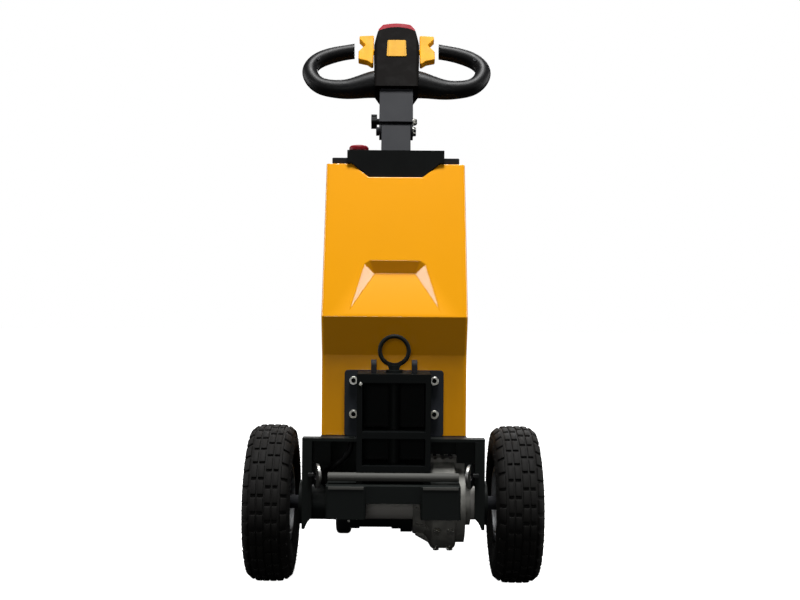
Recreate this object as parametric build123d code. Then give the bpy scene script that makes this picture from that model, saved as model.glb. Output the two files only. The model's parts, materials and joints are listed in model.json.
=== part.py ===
from build123d import *
import os
from math import atan2, cos, degrees, radians, sin, tan

# Pedestrian electric tow tug, in millimetres, +Z up, front towards -Y.
# Left and right are as the operator sees them from behind the tiller: left is +X.
# While it is built, y = 0 is the drive axle and z = 0 the floor.

SIDES = (("left", 1), ("right", -1))

# Clearances
SEAT_GAP = 0.3          # between pieces that rest on each other or nest
RUNNING_GAP = 0.5       # radial gap of a shaft in its bearing
SHEET = 3.0             # cover and panel sheet
CUTTER = 1500.0         # side of a cutter that reaches past the whole machine

# Drive wheels
TYRE_DIAMETER = 300.0
TYRE_WIDTH = 88.0
TREAD_PITCHES = 30      # blocks round the tyre, and flats of its walls
TREAD_GAP = 3.6         # between one block and the next
TREAD_DEPTH = 4.5
TREAD_FLOOR = 5.2       # of the grooves beside the blocks, below the tread
TREAD_ROW = 24.5        # width of the row of blocks on each side of the middle
TREAD_GROOVE = 4.0      # between the blocks and the shoulder
SIDEWALL = (            # in from the widest part, and share of the tyre's height down from the tread
    (15.5, 0.016),
    (3.0, 0.122),
    (0.0, 0.349),
    (0.0, 0.558),
    (5.5, 0.767),
)
TYRE_CLEARANCE = 17.0   # between the tyre and the side frame
BEAD_DIAMETER = 128.0
BEAD_WIDTH = 64.0
RIM_LIP = 9.0
RIM_WALL = 4.0
RIM_DISC = 5.0
DISC_OFFSET = 6.0       # of the rim's disc, inboard of the centre plane
HUB_FLANGE_DIAMETER = 92.0
HUB_FLANGE = 9.0
HUB_BARREL_DIAMETER = 46.0
HUB_NOSE = 26.0         # the hub's nose outside the rim's disc
STUB_DIAMETER = 26.0
STUB_REACH = 70.0       # of the stub axle into the axle tube

# Chassis
FRAME_TOP = 282.0
DECK = 6.0
FRAME_PLATE = 6.0
FRAME_HALF_WIDTH = 173.0
FRAME_FLANGE = 19.0
FRAME_FRONT = -60.0
FRAME_REAR = 410.0
FRAME_LIP = 27.0        # depth of the level front part of the frames and the deck
FRAME_REAR_TOP = 208.0  # height of the frames beside the battery box
FRAME_FRONT_BOTTOM = 110.0
FLANGE_RISE = 22.0      # how much the front flange's foot rises inboard
TRAY_BOTTOM = 154.0
TRAY_FRONT = 160.0
BEARING_FLANGE_DIAMETER = 84.0
BEARING_FLANGE = 8.0
AXLE_TUBE_DIAMETER = 64.0

# Battery
BATTERY_MARGIN = 15.0   # between the battery and the cover's side
BATTERY_LENGTH = 220.0
BATTERY_HEIGHT = 225.0

# Yellow cover, as its outline seen from the side
COVER_WIDTH = 280.0
COVER_EDGE = 7.0        # outer radius of the folded front edges
COVER_FRONT = -19.0
COVER_STEP_TOP = 438.0
CREASE_Y = -45.0
CREASE_Z = 512.0
COVER_TOP_Y = 74.0
COVER_TOP = 819.0
COVER_TOP_REAR = 236.0
COVER_REAR = 392.0
COVER_REAR_BEND = 600.0
LID_OPENING_MARGIN = 22.0
NOTCH_DEPTH = 28.0
NOTCH_BOTTOM_WIDTH = 109.0
NOTCH_TOP_WIDTH = 178.0
VENTS = 6
VENT_SIZE = (120.0, 6.0)
VENT_PITCH = 14.0
VENT_BOTTOM = 450.0

# Wedge recess pressed into the front
RECESS_TOP = 621.0
RECESS_TOP_WIDTH = 98.0
RECESS_CORNER_DROP = 7.0
RECESS_CORNER_WIDTH = 119.0
RECESS_FLOOR_TOP = 600.0
RECESS_FLOOR_WIDTH = 79.0
RECESS_TIP = 525.0
RECESS_TIP_WIDTH = 172.0
RECESS_DEPTH = 14.0

# Top plate and console
TOP_PLATE_MARGIN = 11.0 # from the cover's side to the plate's
TOP_PLATE = 13.0
TOP_PLATE_FRONT = 80.0
CONSOLE_WIDTH = 196.0
CONSOLE_FRONT = 68.0
CONSOLE_TOP = 846.0
CONSOLE_REAR = 222.0
CONSOLE_FALL_START = 158.0
CONSOLE_REAR_HEIGHT = 5.0
SKIRT_GAP = 1.5         # between the console's skirt and the notch
POST_HOLE_GAP = 2.0
STOP_X = 76.0
STOP_Y = 112.0
STOP_DIAMETER = 40.0
KEY_DIAMETER = 22.0
KEY_X = 60.0
GAUGE_SIZE = (46.0, 28.0)
GAUGE_X = -50.0
PANEL_S = 0.5           # share of the falling panel at which its parts sit

# Coupling
HITCH_WIDTH = 190.0
HITCH_PLATE = 10.0
HITCH_TOP = 409.0
BRACKET_WIDTH = 136.0
BRACKET_FRONT = -120.0
BRACKET_WALL = 10.0
BRACKET_TOP = 408.0
BRACKET_TOP_PLATE = 16.0
SHELF_TOP = 302.0
SHELF = 12.0
BRACKET_BOTTOM = 228.0
PIN_Y = -76.0
PIN_DIAMETER = 20.0
PIN_TIP = 216.0
PIN_COLLAR_DIAMETER = 32.0
PIN_COLLAR = 5.0
RING_CENTRE = 449.0
RING_DIAMETER = 62.0
RING_WIRE = 8.0
PIN_NECK = 18.0
PIN_FLARE_WIDTH = 34.0  # of the forged web where it meets the ring
PIN_FLARE = 10.0        # thickness of that web
EAR_INNER = 33.0
EAR = 10.0
EAR_TOP = 432.0
EAR_LENGTH = 34.0

# Bumper, cross bar and lashing eyes
BLOCK_FRONT = -148.0
BLOCK_REAR = -91.0
BLOCK_TOP = 207.0
BLOCK_BOTTOM = 148.0
BLOCK_OUTER = 122.0
BLOCK_INNER = 50.0
BLOCK_EDGE = 5.0
RELIEF_TOP = 175.0
ARM_INNER = 20.0
ARM = 12.0
ARM_REAR = -40.0
ARM_BOTTOM = 176.0
TAB_INNER = 56.0
BAR_DIAMETER = 16.0
BAR_Y = -118.0
BAR_HALF_LENGTH = 120.0
EYE_DIAMETER = 46.0
EYE_HOLE = 14.0
EYE = 5.0
EYE_INBOARD = 30.0      # of the eye from the side frame's outside
EYE_Y = -78.0
EYE_Z = 214.0
EYE_TURN = 20.0
EYE_STEM = 7.0          # side of the square stem that carries the eye

# Gear case and motor
MOTOR_Y = 92.0
MOTOR_DROP = 19.0       # of the motor's axis below the axle's
MOTOR_DIAMETER = 104.0
MOTOR_LENGTH = 101.0
MOTOR_BELL = 18.0       # length of the bells at the motor's ends
MOTOR_BELL_STEP = 3.0   # how much they stand proud of its shell
MOTOR_FLANGE_DIAMETER = 116.0
MOTOR_FLANGE = 22.7
CASE_FRAME_GAP = 19.0   # between the case's end cap and the side frame
CASE_LENGTH = 81.0
CASE_RADIUS = 86.0
CASE_EDGE = 6.0
CASE_NECK_RADIUS = 58.0
CASE_NECK = 22.0        # length of the neck before the case swells
CASE_SWELL = 14.0       # length over which it swells
CASE_LIP = 17.0
CASE_LIP_PROUD = 5.0
CASE_LIP_RADIUS = 74.5
CASE_INPUT_RADIUS = 56.0
CASE_RIBS = 5
CASE_RIB = 5.0
CASE_RIB_START = 60.0   # angle of the first rib from the top, towards the front
CASE_RIB_STEP = 30.0
BOSS_BACK = 50.0        # from the case's end to the boss's inboard side
BOSS_LENGTH = 68.0
BOSS_HEIGHT = 91.0      # of the boss above the axle
BOSS_WIDTH = 46.0
BOSS_RIBS = 5
BOSS_RIB = 3.0
CAP_DIAMETER = 84.0
CAP = 12.0

# Motor cable
CABLE_DIAMETER = 12.0
CABLE_ROUTE = (         # x, y and height above the axle
    (-80.0, -44.0, 126.0),
    (-84.0, -44.0, 102.0),
    (-116.0, -42.0, 72.0),
    (-136.0, -4.0, 58.0),
    (-142.0, 44.0, 42.0),
    (-140.0, 84.0, 8.0),
    (-126.0, 96.0, -12.0),
)
TERMINAL = (14.0, 44.0, 44.0)

# Rear casters
CASTER_INBOARD = 53.0   # of the swivel from the side frame's inside
CASTER_Y = 352.0
CASTER_TRAIL = 35.0
CASTER_WHEEL_DIAMETER = 125.0
CASTER_WHEEL_WIDTH = 35.0
CASTER_PLATE = 6.0
CASTER_PLATE_SIZE = (96.0, 96.0)
CASTER_BEARING_DIAMETER = 62.0
CASTER_BEARING = 8.0
FORK_WALL = 4.0
FORK_GAP = 4.0
CASTER_FLATS = 32       # flats round the tread
CASTER_TREAD = 14.0     # thickness of the tread
CASTER_RECESS = 8.0     # depth of the recess in each side
CASTER_HUB_DIAMETER = 36.0
CASTER_CROWN = (        # in from the side, and down from the tread
    (0.0, 9.0),
    (3.5, 2.2),
    (8.0, 0.0),
)
CASTER_AXLE_DIAMETER = 12.0
KING_PIN_DIAMETER = 12.0

# Tiller
TILLER_Y = 114.0
TILLER_Z = 859.0
TILLER_LEAN = 31.0
POST_WIDTH = 60.0
POST_DEPTH = 36.0
PIVOT_S = 42.0
PIVOT_DIAMETER = 12.0
PIVOT_HEAD = 18.0
SLEEVE_WALL = 4.5
SLEEVE_ROOM = 1.0       # between the sleeve's front or rear wall and the post
SLEEVE_START = 49.0
CLAMP_S = 68.0
CLAMP_DIAMETER = 8.0
KNOB_DIAMETER = 31.0
KNOB_LENGTH = 12.0
KNOB_LOBES = 5
HEAD_FOOT = 139.0       # the head's lower end along the tiller
HEAD_SOCKET = 52.0
HEAD_WIDTH = 98.0
HEAD_FOOT_WIDTH = 91.0
HEAD_LENGTH = 172.5
HEAD_CROWN_WIDTH = 82.0
HEAD_CROWN_DROP = 12.0  # of the crown's ends below its middle
HEAD_DEPTH = 66.0
HEAD_FOOT_REAR = 27.0   # from the tiller's axis to the rear of the foot
HEAD_FOOT_RISE = 51.0   # from the foot to where the rear is at its full depth
HEAD_REAR_WIDTH = 66.0
HEAD_BEVEL = 35.0       # how far forward the rear corners are cut back
HEAD_EDGE = 9.0
HEAD_SHOULDER = 18.0    # radius of the shoulders beside the crown
BUTTON_WIDTH = 80.0
BUTTON_SHOULDER_WIDTH = 62.0
BUTTON_STEPS = (0.5, 13.5, 18.1) # above the crown: its sides, its shoulders and its top
BUTTON_INSET = 4.0      # from the head's front and rear to the button's
BUTTON_EDGE = 5.0
LABEL_WIDTH = 42.6
LABEL_TOP_WIDTH = 39.4
LABEL_SHARES = (0.486, 0.761) # of the head's length, as the shares below
HEAD_WAIST_SHARE = 0.499 # where the head reaches its full width
HEAD_SIDE_SHARE = 0.713 # where the head starts to narrow
THROTTLE_SHARE = 0.748
LABEL = 1.5
LABEL_CORNER = 2.5
GRIP_TIP_X = 92.6       # of the cut ends that face the throttles
GRIP_STATIONS = (       # distance from the middle, share of the head's length, radius
    (34.0, 0.206, 31.0),
    (47.0, 0.194, 29.0),
    (78.0, 0.153, 24.5),
    (106.5, 0.116, 21.0),
    (136.5, 0.122, 19.0),
    (162.0, 0.166, 18.0),
    (180.0, 0.272, 17.5),
    (187.0, 0.429, 17.0),
    (174.0, 0.574, 17.0),
    (144.0, 0.678, 17.0),
    (93.0, 0.759, 16.5),
    (78.0, 0.771, 16.5),
)
THROTTLE_OUTLINE = (    # distance from the middle and place about the spindle
    (50.5, 44.0),
    (82.5, 42.0),
    (82.5, 32.0),
    (69.0, 15.0),
    (83.5, -4.0),
    (83.5, -28.0),
    (64.0, -33.5),
    (50.5, -45.0),
)
THROTTLE = 16.0
THROTTLE_EDGE = 3.0
SPINDLE_DIAMETER = 12.0
SPINDLE_TIP = 78.0      # of the spindle from the middle

AXLE_Z = TYRE_DIAMETER / 2
WHEEL_X = FRAME_HALF_WIDTH + TYRE_CLEARANCE + TYRE_WIDTH / 2
FRAME_INNER = FRAME_HALF_WIDTH - FRAME_PLATE
BATTERY_WIDTH = COVER_WIDTH - 2 * BATTERY_MARGIN
TOP_PLATE_WIDTH = COVER_WIDTH - 2 * TOP_PLATE_MARGIN
EYE_X = FRAME_HALF_WIDTH - EYE_INBOARD
CASTER_X = FRAME_INNER - CASTER_INBOARD
CAP_END = FRAME_INNER - CASE_FRAME_GAP
CASE_END = CAP_END - CAP - CASE_LIP
CASE_START = CASE_END - CASE_LENGTH
MOTOR_END = CASE_START - SEAT_GAP - MOTOR_FLANGE
MOTOR_START = MOTOR_END - MOTOR_LENGTH
MOTOR_Z = AXLE_Z - MOTOR_DROP
DECK_BOTTOM = FRAME_TOP - DECK
HEAD_CROWN = HEAD_FOOT + HEAD_LENGTH
HEAD_WAIST = HEAD_FOOT + HEAD_WAIST_SHARE * HEAD_LENGTH
HEAD_SIDE_TOP = HEAD_FOOT + HEAD_SIDE_SHARE * HEAD_LENGTH
THROTTLE_S = HEAD_FOOT + THROTTLE_SHARE * HEAD_LENGTH


def block(x, y, z):
    """A box between two x, two y and two z values."""
    size = [abs(span[1] - span[0]) for span in (x, y, z)]
    middle = [(span[1] + span[0]) / 2 for span in (x, y, z)]
    return Pos(*middle) * Box(*size)


def below(z):
    """A cutter for everything under a height."""
    return block((-CUTTER, CUTTER), (-CUTTER, CUTTER), (z - CUTTER, z))


def side_prism(points, x0, x1):
    """An outline of (y, z) points carried from x0 to x1."""
    face = Plane.YZ.offset(x0) * Polygon(*points, align=None)
    return extrude(face, amount=x1 - x0, dir=(1, 0, 0))


def front_prism(points, y0, y1):
    """An outline of (x, z) points carried from y0 back to y1."""
    face = Plane.XZ.offset(-y0) * Polygon(*points, align=None)
    return extrude(face, amount=y1 - y0, dir=(0, 1, 0))


def rod_x(x0, x1, y, z, diameter):
    """A round bar along X."""
    return Pos((x0 + x1) / 2, y, z) * Rot(0, 90, 0) * Cylinder(diameter / 2, abs(x1 - x0))


def rod_z(x, y, z0, z1, diameter):
    """A round bar along Z."""
    return Pos(x, y, (z0 + z1) / 2) * Cylinder(diameter / 2, abs(z1 - z0))


def smooth_path(points):
    """Straight runs joined by tangent arcs, each as large as its two runs allow."""
    corners = [Vector(*point) for point in points]
    radii = []
    for before, corner, after in zip(corners, corners[1:], corners[2:]):
        turn = radians((corner - before).get_angle(after - corner))
        run = min((corner - before).length, (after - corner).length)
        radii.append(0.45 * run / tan(turn / 2))
    return FilletPolyline(*corners, radius=radii)


def swept_tube(points, diameter):
    """A round tube along a smooth path."""
    path = smooth_path(points)
    section = Plane(origin=path @ 0, z_dir=path % 0) * Circle(diameter / 2)
    return sweep(section, path=path)


def turned(outline_pieces):
    """(x, radius) rectangles (x0, x1, r0, r1), joined and turned about the X axis."""
    faces = [Pos((x0 + x1) / 2, (r0 + r1) / 2) * Rectangle(x1 - x0, r1 - r0) for x0, x1, r0, r1 in outline_pieces]
    face = faces[0]
    for extra in faces[1:]:
        face += extra
    return revolve(Plane.XZ * face, axis=Axis.X)


# Drive wheels, built round the X axis with the outboard side towards +X

def pitch_round(x, steps, phase=0.0):
    """A face at x whose outline repeats the same (angle, radius) steps at every pitch of the tread."""
    points = []
    for index in range(TREAD_PITCHES):
        middle = (index + phase) * 360 / TREAD_PITCHES
        for turn, radius in steps:
            angle = radians(middle + turn)
            points.append((radius * sin(angle), radius * cos(angle)))
    return Plane.YZ.offset(x) * Polygon(*points, align=None)


def make_tyre():
    """A tyre of flats: two rows of blocks half a pitch apart between plain shoulders and walls."""
    radius = TYRE_DIAMETER / 2
    root = radius - TREAD_DEPTH
    edge = (360 / TREAD_PITCHES - degrees(TREAD_GAP / radius)) / 2
    blocks = ((-edge, root), (-edge, radius), (edge, radius), (edge, root))
    bore = BEAD_DIAMETER / 2 / cos(radians(180 / TREAD_PITCHES))
    shoulder = TREAD_ROW + TREAD_GROOVE
    height = radius - BEAD_DIAMETER / 2
    floor = ((0, radius - TREAD_FLOOR),)
    tyre = loft([pitch_round(-shoulder, floor), pitch_round(shoulder, floor)], ruled=True)
    for side in (1, -1):
        row = [pitch_round(x, blocks, -0.25 * side) for x in (0, side * TREAD_ROW)]
        wall = [pitch_round(side * (TYRE_WIDTH / 2 - inset), ((0, radius - share * height),))
                for inset, share in SIDEWALL]
        wall.append(pitch_round(side * BEAD_WIDTH / 2, ((0, BEAD_DIAMETER / 2 + RIM_LIP + SEAT_GAP),)))
        tyre += loft(row, ruled=True)
        tyre += loft(wall, ruled=True)
    cutter = [pitch_round(x, ((0, bore),)) for x in (-TYRE_WIDTH, TYRE_WIDTH)]
    return tyre - loft(cutter, ruled=True)


def make_rim():
    seat = BEAD_DIAMETER / 2 - SEAT_GAP
    inner = seat - RIM_WALL
    half = BEAD_WIDTH / 2
    disc_x = (-DISC_OFFSET - RIM_DISC, -DISC_OFFSET)
    rim = turned((
        (-half - RIM_WALL, half + RIM_WALL, inner, seat),
        (half + SEAT_GAP, half + RIM_WALL, inner, seat + RIM_LIP),
        (-half - RIM_WALL, -half - SEAT_GAP, inner, seat + RIM_LIP),
        (disc_x[0], disc_x[1], HUB_BARREL_DIAMETER / 2 + SEAT_GAP, inner + RIM_WALL / 2),
    ))
    return rim


def make_hub():
    back = -DISC_OFFSET - RIM_DISC
    barrel = HUB_BARREL_DIAMETER / 2
    stub = STUB_DIAMETER / 2
    tube_end = WHEEL_X - FRAME_INNER
    hub = turned((
        (back - HUB_FLANGE, back, 0, HUB_FLANGE_DIAMETER / 2),
        (back, HUB_NOSE, 0, barrel),
        (-tube_end - STUB_REACH, back, 0, stub),
    ))
    return hub


# Chassis

def make_side_frame(side):
    inner, outer = FRAME_INNER, FRAME_HALF_WIDTH
    outline = (
        (FRAME_FRONT, FRAME_FRONT_BOTTOM),
        (AXLE_TUBE_DIAMETER, FRAME_FRONT_BOTTOM),
        (TRAY_FRONT, TRAY_BOTTOM),
        (FRAME_REAR, TRAY_BOTTOM),
        (FRAME_REAR, FRAME_REAR_TOP),
        (TRAY_FRONT, FRAME_REAR_TOP),
        (FRAME_FRONT + FRAME_LIP, DECK_BOTTOM - SEAT_GAP),
        (FRAME_FRONT, DECK_BOTTOM - SEAT_GAP),
    )
    plate = side_prism(outline, inner, outer)
    flange = front_prism(
        (
            (outer, FRAME_FRONT_BOTTOM),
            (outer, DECK_BOTTOM - SEAT_GAP),
            (outer - FRAME_FLANGE, DECK_BOTTOM - SEAT_GAP),
            (outer - FRAME_FLANGE, FRAME_FRONT_BOTTOM + FLANGE_RISE),
        ),
        FRAME_FRONT,
        FRAME_FRONT + FRAME_PLATE,
    )
    bearing = rod_x(inner, outer + BEARING_FLANGE, 0, AXLE_Z, BEARING_FLANGE_DIAMETER)
    hole = rod_x(inner - 1, outer + BEARING_FLANGE + 1, 0, AXLE_Z, STUB_DIAMETER + 2 * RUNNING_GAP)
    frame = plate + flange + bearing - hole
    return frame if side > 0 else mirror(frame, about=Plane.YZ)


def make_deck():
    lip = FRAME_FRONT + FRAME_LIP
    half = COVER_WIDTH / 2
    deck = block((-FRAME_HALF_WIDTH, FRAME_HALF_WIDTH), (FRAME_FRONT, lip), (DECK_BOTTOM, FRAME_TOP))
    deck += block((-half, half), (lip, FRAME_REAR), (DECK_BOTTOM, FRAME_TOP))
    battery_y = battery_span()
    deck -= block(
        (-BATTERY_WIDTH / 2 - 5, BATTERY_WIDTH / 2 + 5),
        (battery_y[0] - 5, battery_y[1] + 5),
        (DECK_BOTTOM - 1, FRAME_TOP + 1),
    )
    half = BRACKET_WIDTH / 2 + SEAT_GAP
    hitch_back = COVER_FRONT - SEAT_GAP
    deck -= block((-half, half), (FRAME_FRONT - 1, hitch_back), (DECK_BOTTOM - 1, FRAME_TOP + 1))
    cable = CABLE_ROUTE[0]
    deck -= rod_z(cable[0], cable[1], DECK_BOTTOM - 1, FRAME_TOP + 1, CABLE_DIAMETER + 2 * SEAT_GAP)
    return deck


def battery_span():
    """The battery's front and rear: it stands against the tray's front wall."""
    front = TRAY_FRONT + FRAME_PLATE + SEAT_GAP
    return front, front + BATTERY_LENGTH


def make_tray():
    half = FRAME_INNER - SEAT_GAP
    top = DECK_BOTTOM - SEAT_GAP
    tray = block((-half, half), (TRAY_FRONT, FRAME_REAR), (TRAY_BOTTOM, FRAME_REAR_TOP))
    tray -= block((-half - 1, half + 1), (TRAY_FRONT + FRAME_PLATE, FRAME_REAR - FRAME_PLATE),
                  (TRAY_BOTTOM + FRAME_PLATE, FRAME_REAR_TOP + 1))
    box = COVER_WIDTH / 2
    room = box - FRAME_PLATE
    tray += block((-box, box), (TRAY_FRONT, FRAME_REAR), (TRAY_BOTTOM, top))
    tray -= block((-room, room), (TRAY_FRONT + FRAME_PLATE, FRAME_REAR - FRAME_PLATE),
                  (TRAY_BOTTOM + FRAME_PLATE, top + 1))
    return tray


def make_battery():
    floor = TRAY_BOTTOM + FRAME_PLATE + SEAT_GAP
    half = BATTERY_WIDTH / 2
    return block((-half, half), battery_span(), (floor, floor + BATTERY_HEIGHT))


# Body

def front_y(z):
    """The y of the cover's leaning front at a height."""
    return CREASE_Y + (z - CREASE_Z) * (COVER_TOP_Y - CREASE_Y) / (COVER_TOP - CREASE_Z)


def cover_outline(inset):
    """The cover's side outline, moved inwards by inset at the front and the top."""
    lean = atan2(COVER_TOP_Y - CREASE_Y, COVER_TOP - CREASE_Z)
    shift = inset / cos(lean)
    floor = FRAME_TOP + SEAT_GAP
    top = COVER_TOP - inset
    return (
        (COVER_FRONT + inset, floor),
        (COVER_FRONT + inset, COVER_STEP_TOP + inset / 2),
        (CREASE_Y + shift, CREASE_Z),
        (front_y(top) + shift, top),
        (COVER_TOP_REAR, top),
        (COVER_REAR, COVER_REAR_BEND),
        (COVER_REAR, floor),
    )


def notch_prism(gap):
    """The notch in the cover's top edge, narrowed by gap on each side and at its foot."""
    bottom = COVER_TOP - NOTCH_DEPTH
    low = NOTCH_BOTTOM_WIDTH / 2 - gap
    high = NOTCH_TOP_WIDTH / 2 - gap
    lift = (high - low) * 2 / NOTCH_DEPTH
    points = (
        (-low, bottom + gap),
        (low, bottom + gap),
        (high, COVER_TOP),
        (high + lift, COVER_TOP + 2),
        (-high - lift, COVER_TOP + 2),
        (-high, COVER_TOP),
    )
    return front_prism(points, front_y(bottom) - 10, TOP_PLATE_FRONT - SEAT_GAP)


def recess_body(grow):
    """The wedge pressed into the front, deepest at its top edge, grown by the sheet for its back."""
    lean = atan2(COVER_TOP_Y - CREASE_Y, COVER_TOP - CREASE_Z)
    inward = Vector(0, cos(lean), -sin(lean))
    rows = (
        (RECESS_TOP_WIDTH, RECESS_TOP, 0.0),
        (RECESS_CORNER_WIDTH, RECESS_TOP - RECESS_CORNER_DROP, 0.0),
        (RECESS_TIP_WIDTH, RECESS_TIP, 0.0),
        (RECESS_FLOOR_WIDTH, RECESS_FLOOR_TOP, RECESS_DEPTH),
    )
    points = []
    for width, z, depth in rows:
        for side in (-1, 1):
            surface = Vector(side * (width / 2 + grow), front_y(z), z + (grow if z > RECESS_TIP else 0))
            points.append(surface + inward * (depth + grow))
            if depth == 0:
                points.append(surface - inward * 2)
    return ConvexPolyhedron([tuple(point) for point in points])


def make_front_cover():
    half = COVER_WIDTH / 2
    shell = side_prism(cover_outline(0), -half, half)
    front_edges = shell.edges().filter_by(
        lambda edge: abs(abs(edge.center().X) - half) < 0.01
        and edge.center().Y < COVER_TOP_Y
        and edge.center().Z > FRAME_TOP + 1
        and edge.center().Z < COVER_TOP - 1
    )
    shell = fillet(front_edges, COVER_EDGE)
    inner = half - SHEET
    cavity = side_prism(cover_outline(SHEET), -inner, inner)
    floor = FRAME_TOP + SEAT_GAP
    cavity += block((-inner, inner), (COVER_FRONT + SHEET, COVER_REAR + 1), (floor - 1, COVER_STEP_TOP))
    rear = (
        (COVER_TOP_REAR - 1, COVER_TOP - SHEET),
        (COVER_TOP_REAR + 60, COVER_TOP - SHEET),
        (COVER_REAR + 60, COVER_REAR_BEND),
        (COVER_REAR + 60, floor),
        (COVER_TOP_REAR - 1, floor),
    )
    cavity += side_prism(rear, -inner, inner)
    cavity -= recess_body(SHEET)
    shell = shell - recess_body(0) - cavity
    margin = LID_OPENING_MARGIN
    opening = block(
        (-half + margin, half - margin),
        (TOP_PLATE_FRONT + margin, COVER_TOP_REAR - margin),
        (COVER_TOP - SHEET - 1, COVER_TOP + 1),
    )
    return shell - opening - notch_prism(0)


def make_rear_cover():
    half = COVER_WIDTH / 2 - SHEET - SEAT_GAP
    floor = FRAME_TOP + SEAT_GAP
    top = COVER_TOP - SHEET - SEAT_GAP
    slope = (COVER_REAR - COVER_TOP_REAR) / (COVER_TOP - COVER_REAR_BEND)
    start = COVER_TOP_REAR + (COVER_TOP - top) * slope
    outer = ((start, top), (COVER_REAR, COVER_REAR_BEND), (COVER_REAR, floor), (COVER_REAR - SHEET, floor))
    inner = ((COVER_REAR - SHEET, COVER_REAR_BEND - SHEET / 2), (start - SHEET * 1.2, top))
    cover = side_prism(outer + inner, -half, half)
    for index in range(VENTS):
        slot = Plane.XZ.offset(-COVER_REAR - 1) * Pos(0, VENT_BOTTOM + index * VENT_PITCH) * SlotOverall(*VENT_SIZE)
        cover -= extrude(slot, amount=SHEET + 2, dir=(0, -1, 0))
    return cover


def make_top_plate():
    half = TOP_PLATE_WIDTH / 2
    floor = COVER_TOP + SEAT_GAP
    plate = block((-half, half), (TOP_PLATE_FRONT, COVER_TOP_REAR - 4), (floor, COVER_TOP + TOP_PLATE))
    upright = plate.edges().filter_by(Axis.Z)
    return fillet(upright, 4)


def make_console():
    half = CONSOLE_WIDTH / 2
    floor = COVER_TOP + TOP_PLATE + SEAT_GAP
    bottom = COVER_TOP - NOTCH_DEPTH
    rear_top = floor + CONSOLE_REAR_HEIGHT
    main = (
        (CONSOLE_FRONT, COVER_TOP + 1),
        (CONSOLE_FRONT, CONSOLE_TOP),
        (CONSOLE_FALL_START, CONSOLE_TOP),
        (CONSOLE_REAR, rear_top),
        (CONSOLE_REAR, floor),
        (TOP_PLATE_FRONT - SEAT_GAP, floor),
        (TOP_PLATE_FRONT - SEAT_GAP, COVER_TOP + 1),
    )
    console = side_prism(main, -half, half)
    skirt = notch_prism(SKIRT_GAP)
    skirt -= block((-half - 9, half + 9), (front_y(bottom) - 20, CONSOLE_FRONT), (bottom - 1, COVER_TOP + 9))
    console += skirt
    console -= post_prism(POST_HOLE_GAP) - below(floor)
    console -= rod_z(-STOP_X, STOP_Y, CONSOLE_TOP - 2, CONSOLE_TOP + 1, STOP_DIAMETER * 0.8)
    return console


def make_stop():
    base = rod_z(-STOP_X, STOP_Y, CONSOLE_TOP - 2 + SEAT_GAP, CONSOLE_TOP + 5, STOP_DIAMETER * 0.7)
    cap = rod_z(-STOP_X, STOP_Y, CONSOLE_TOP + 5, CONSOLE_TOP + 15, STOP_DIAMETER)
    cap = fillet(cap.edges().group_by(Axis.Z)[-1], 6)
    return base + cap


def panel_plane():
    """The falling instrument panel of the console, its x along X and its normal up and rearward."""
    rear_top = COVER_TOP + TOP_PLATE + SEAT_GAP + CONSOLE_REAR_HEIGHT
    fall = Vector(0, CONSOLE_REAR - CONSOLE_FALL_START, rear_top - CONSOLE_TOP)
    origin = Vector(0, CONSOLE_FALL_START, CONSOLE_TOP) + fall * PANEL_S
    return Plane(origin=origin, x_dir=(1, 0, 0), z_dir=Vector(1, 0, 0).cross(fall))


def on_panel(x, shape, lift):
    return panel_plane().location * Pos(x, 0, lift + SEAT_GAP) * shape


def make_key():
    ring = Cylinder(KEY_DIAMETER / 2, 4)
    grip = Pos(0, 0, 10) * Box(4, 16, 16)
    return on_panel(KEY_X, ring + grip, 2)


def make_gauge():
    bezel = extrude(RectangleRounded(*GAUGE_SIZE, 4), amount=4)
    window = Pos(0, 0, 3) * extrude(RectangleRounded(GAUGE_SIZE[0] - 8, GAUGE_SIZE[1] - 8, 2), amount=2)
    return on_panel(GAUGE_X, bezel - window, 0)


# Coupling

def make_hitch_plate():
    back = COVER_FRONT - SEAT_GAP
    half = HITCH_WIDTH / 2
    plate = block((-half, half), (back - HITCH_PLATE, back), (FRAME_TOP + SEAT_GAP, HITCH_TOP))
    return fillet(plate.edges().filter_by(Axis.Y), 6)


def make_bracket():
    back = COVER_FRONT - 2 * SEAT_GAP - HITCH_PLATE
    half = BRACKET_WIDTH / 2
    y = (BRACKET_FRONT, back)
    x = (-half, half)
    body = block(x, (back - BRACKET_WALL, back), (BRACKET_BOTTOM, BRACKET_TOP))
    for side in (-1, 1):
        body += block((side * half, side * (half - BRACKET_WALL)), y, (BRACKET_BOTTOM, BRACKET_TOP))
        arm_x = (side * ARM_INNER, side * (ARM_INNER + ARM))
        body += block(arm_x, (BLOCK_REAR, ARM_REAR), (ARM_BOTTOM, BRACKET_BOTTOM + 1))
        tab_x = (side * TAB_INNER, side * half)
        tab_y = (BRACKET_FRONT, BAR_Y + BAR_DIAMETER)
        body += block(tab_x, tab_y, (BLOCK_TOP + SEAT_GAP, BRACKET_BOTTOM + 1))
    levels = (
        (BRACKET_TOP - BRACKET_TOP_PLATE, BRACKET_TOP),
        (SHELF_TOP - SHELF, SHELF_TOP),
        (BRACKET_BOTTOM, BRACKET_BOTTOM + SHELF),
    )
    for level in levels:
        body += block(x, y, level)
    body -= rod_x(-half - 1, half + 1, BAR_Y, bar_height(), BAR_DIAMETER + 2 * SEAT_GAP)
    body -= rod_z(0, PIN_Y, BRACKET_BOTTOM - 1, BRACKET_TOP + 1, PIN_DIAMETER + 2 * RUNNING_GAP)
    return body


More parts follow.
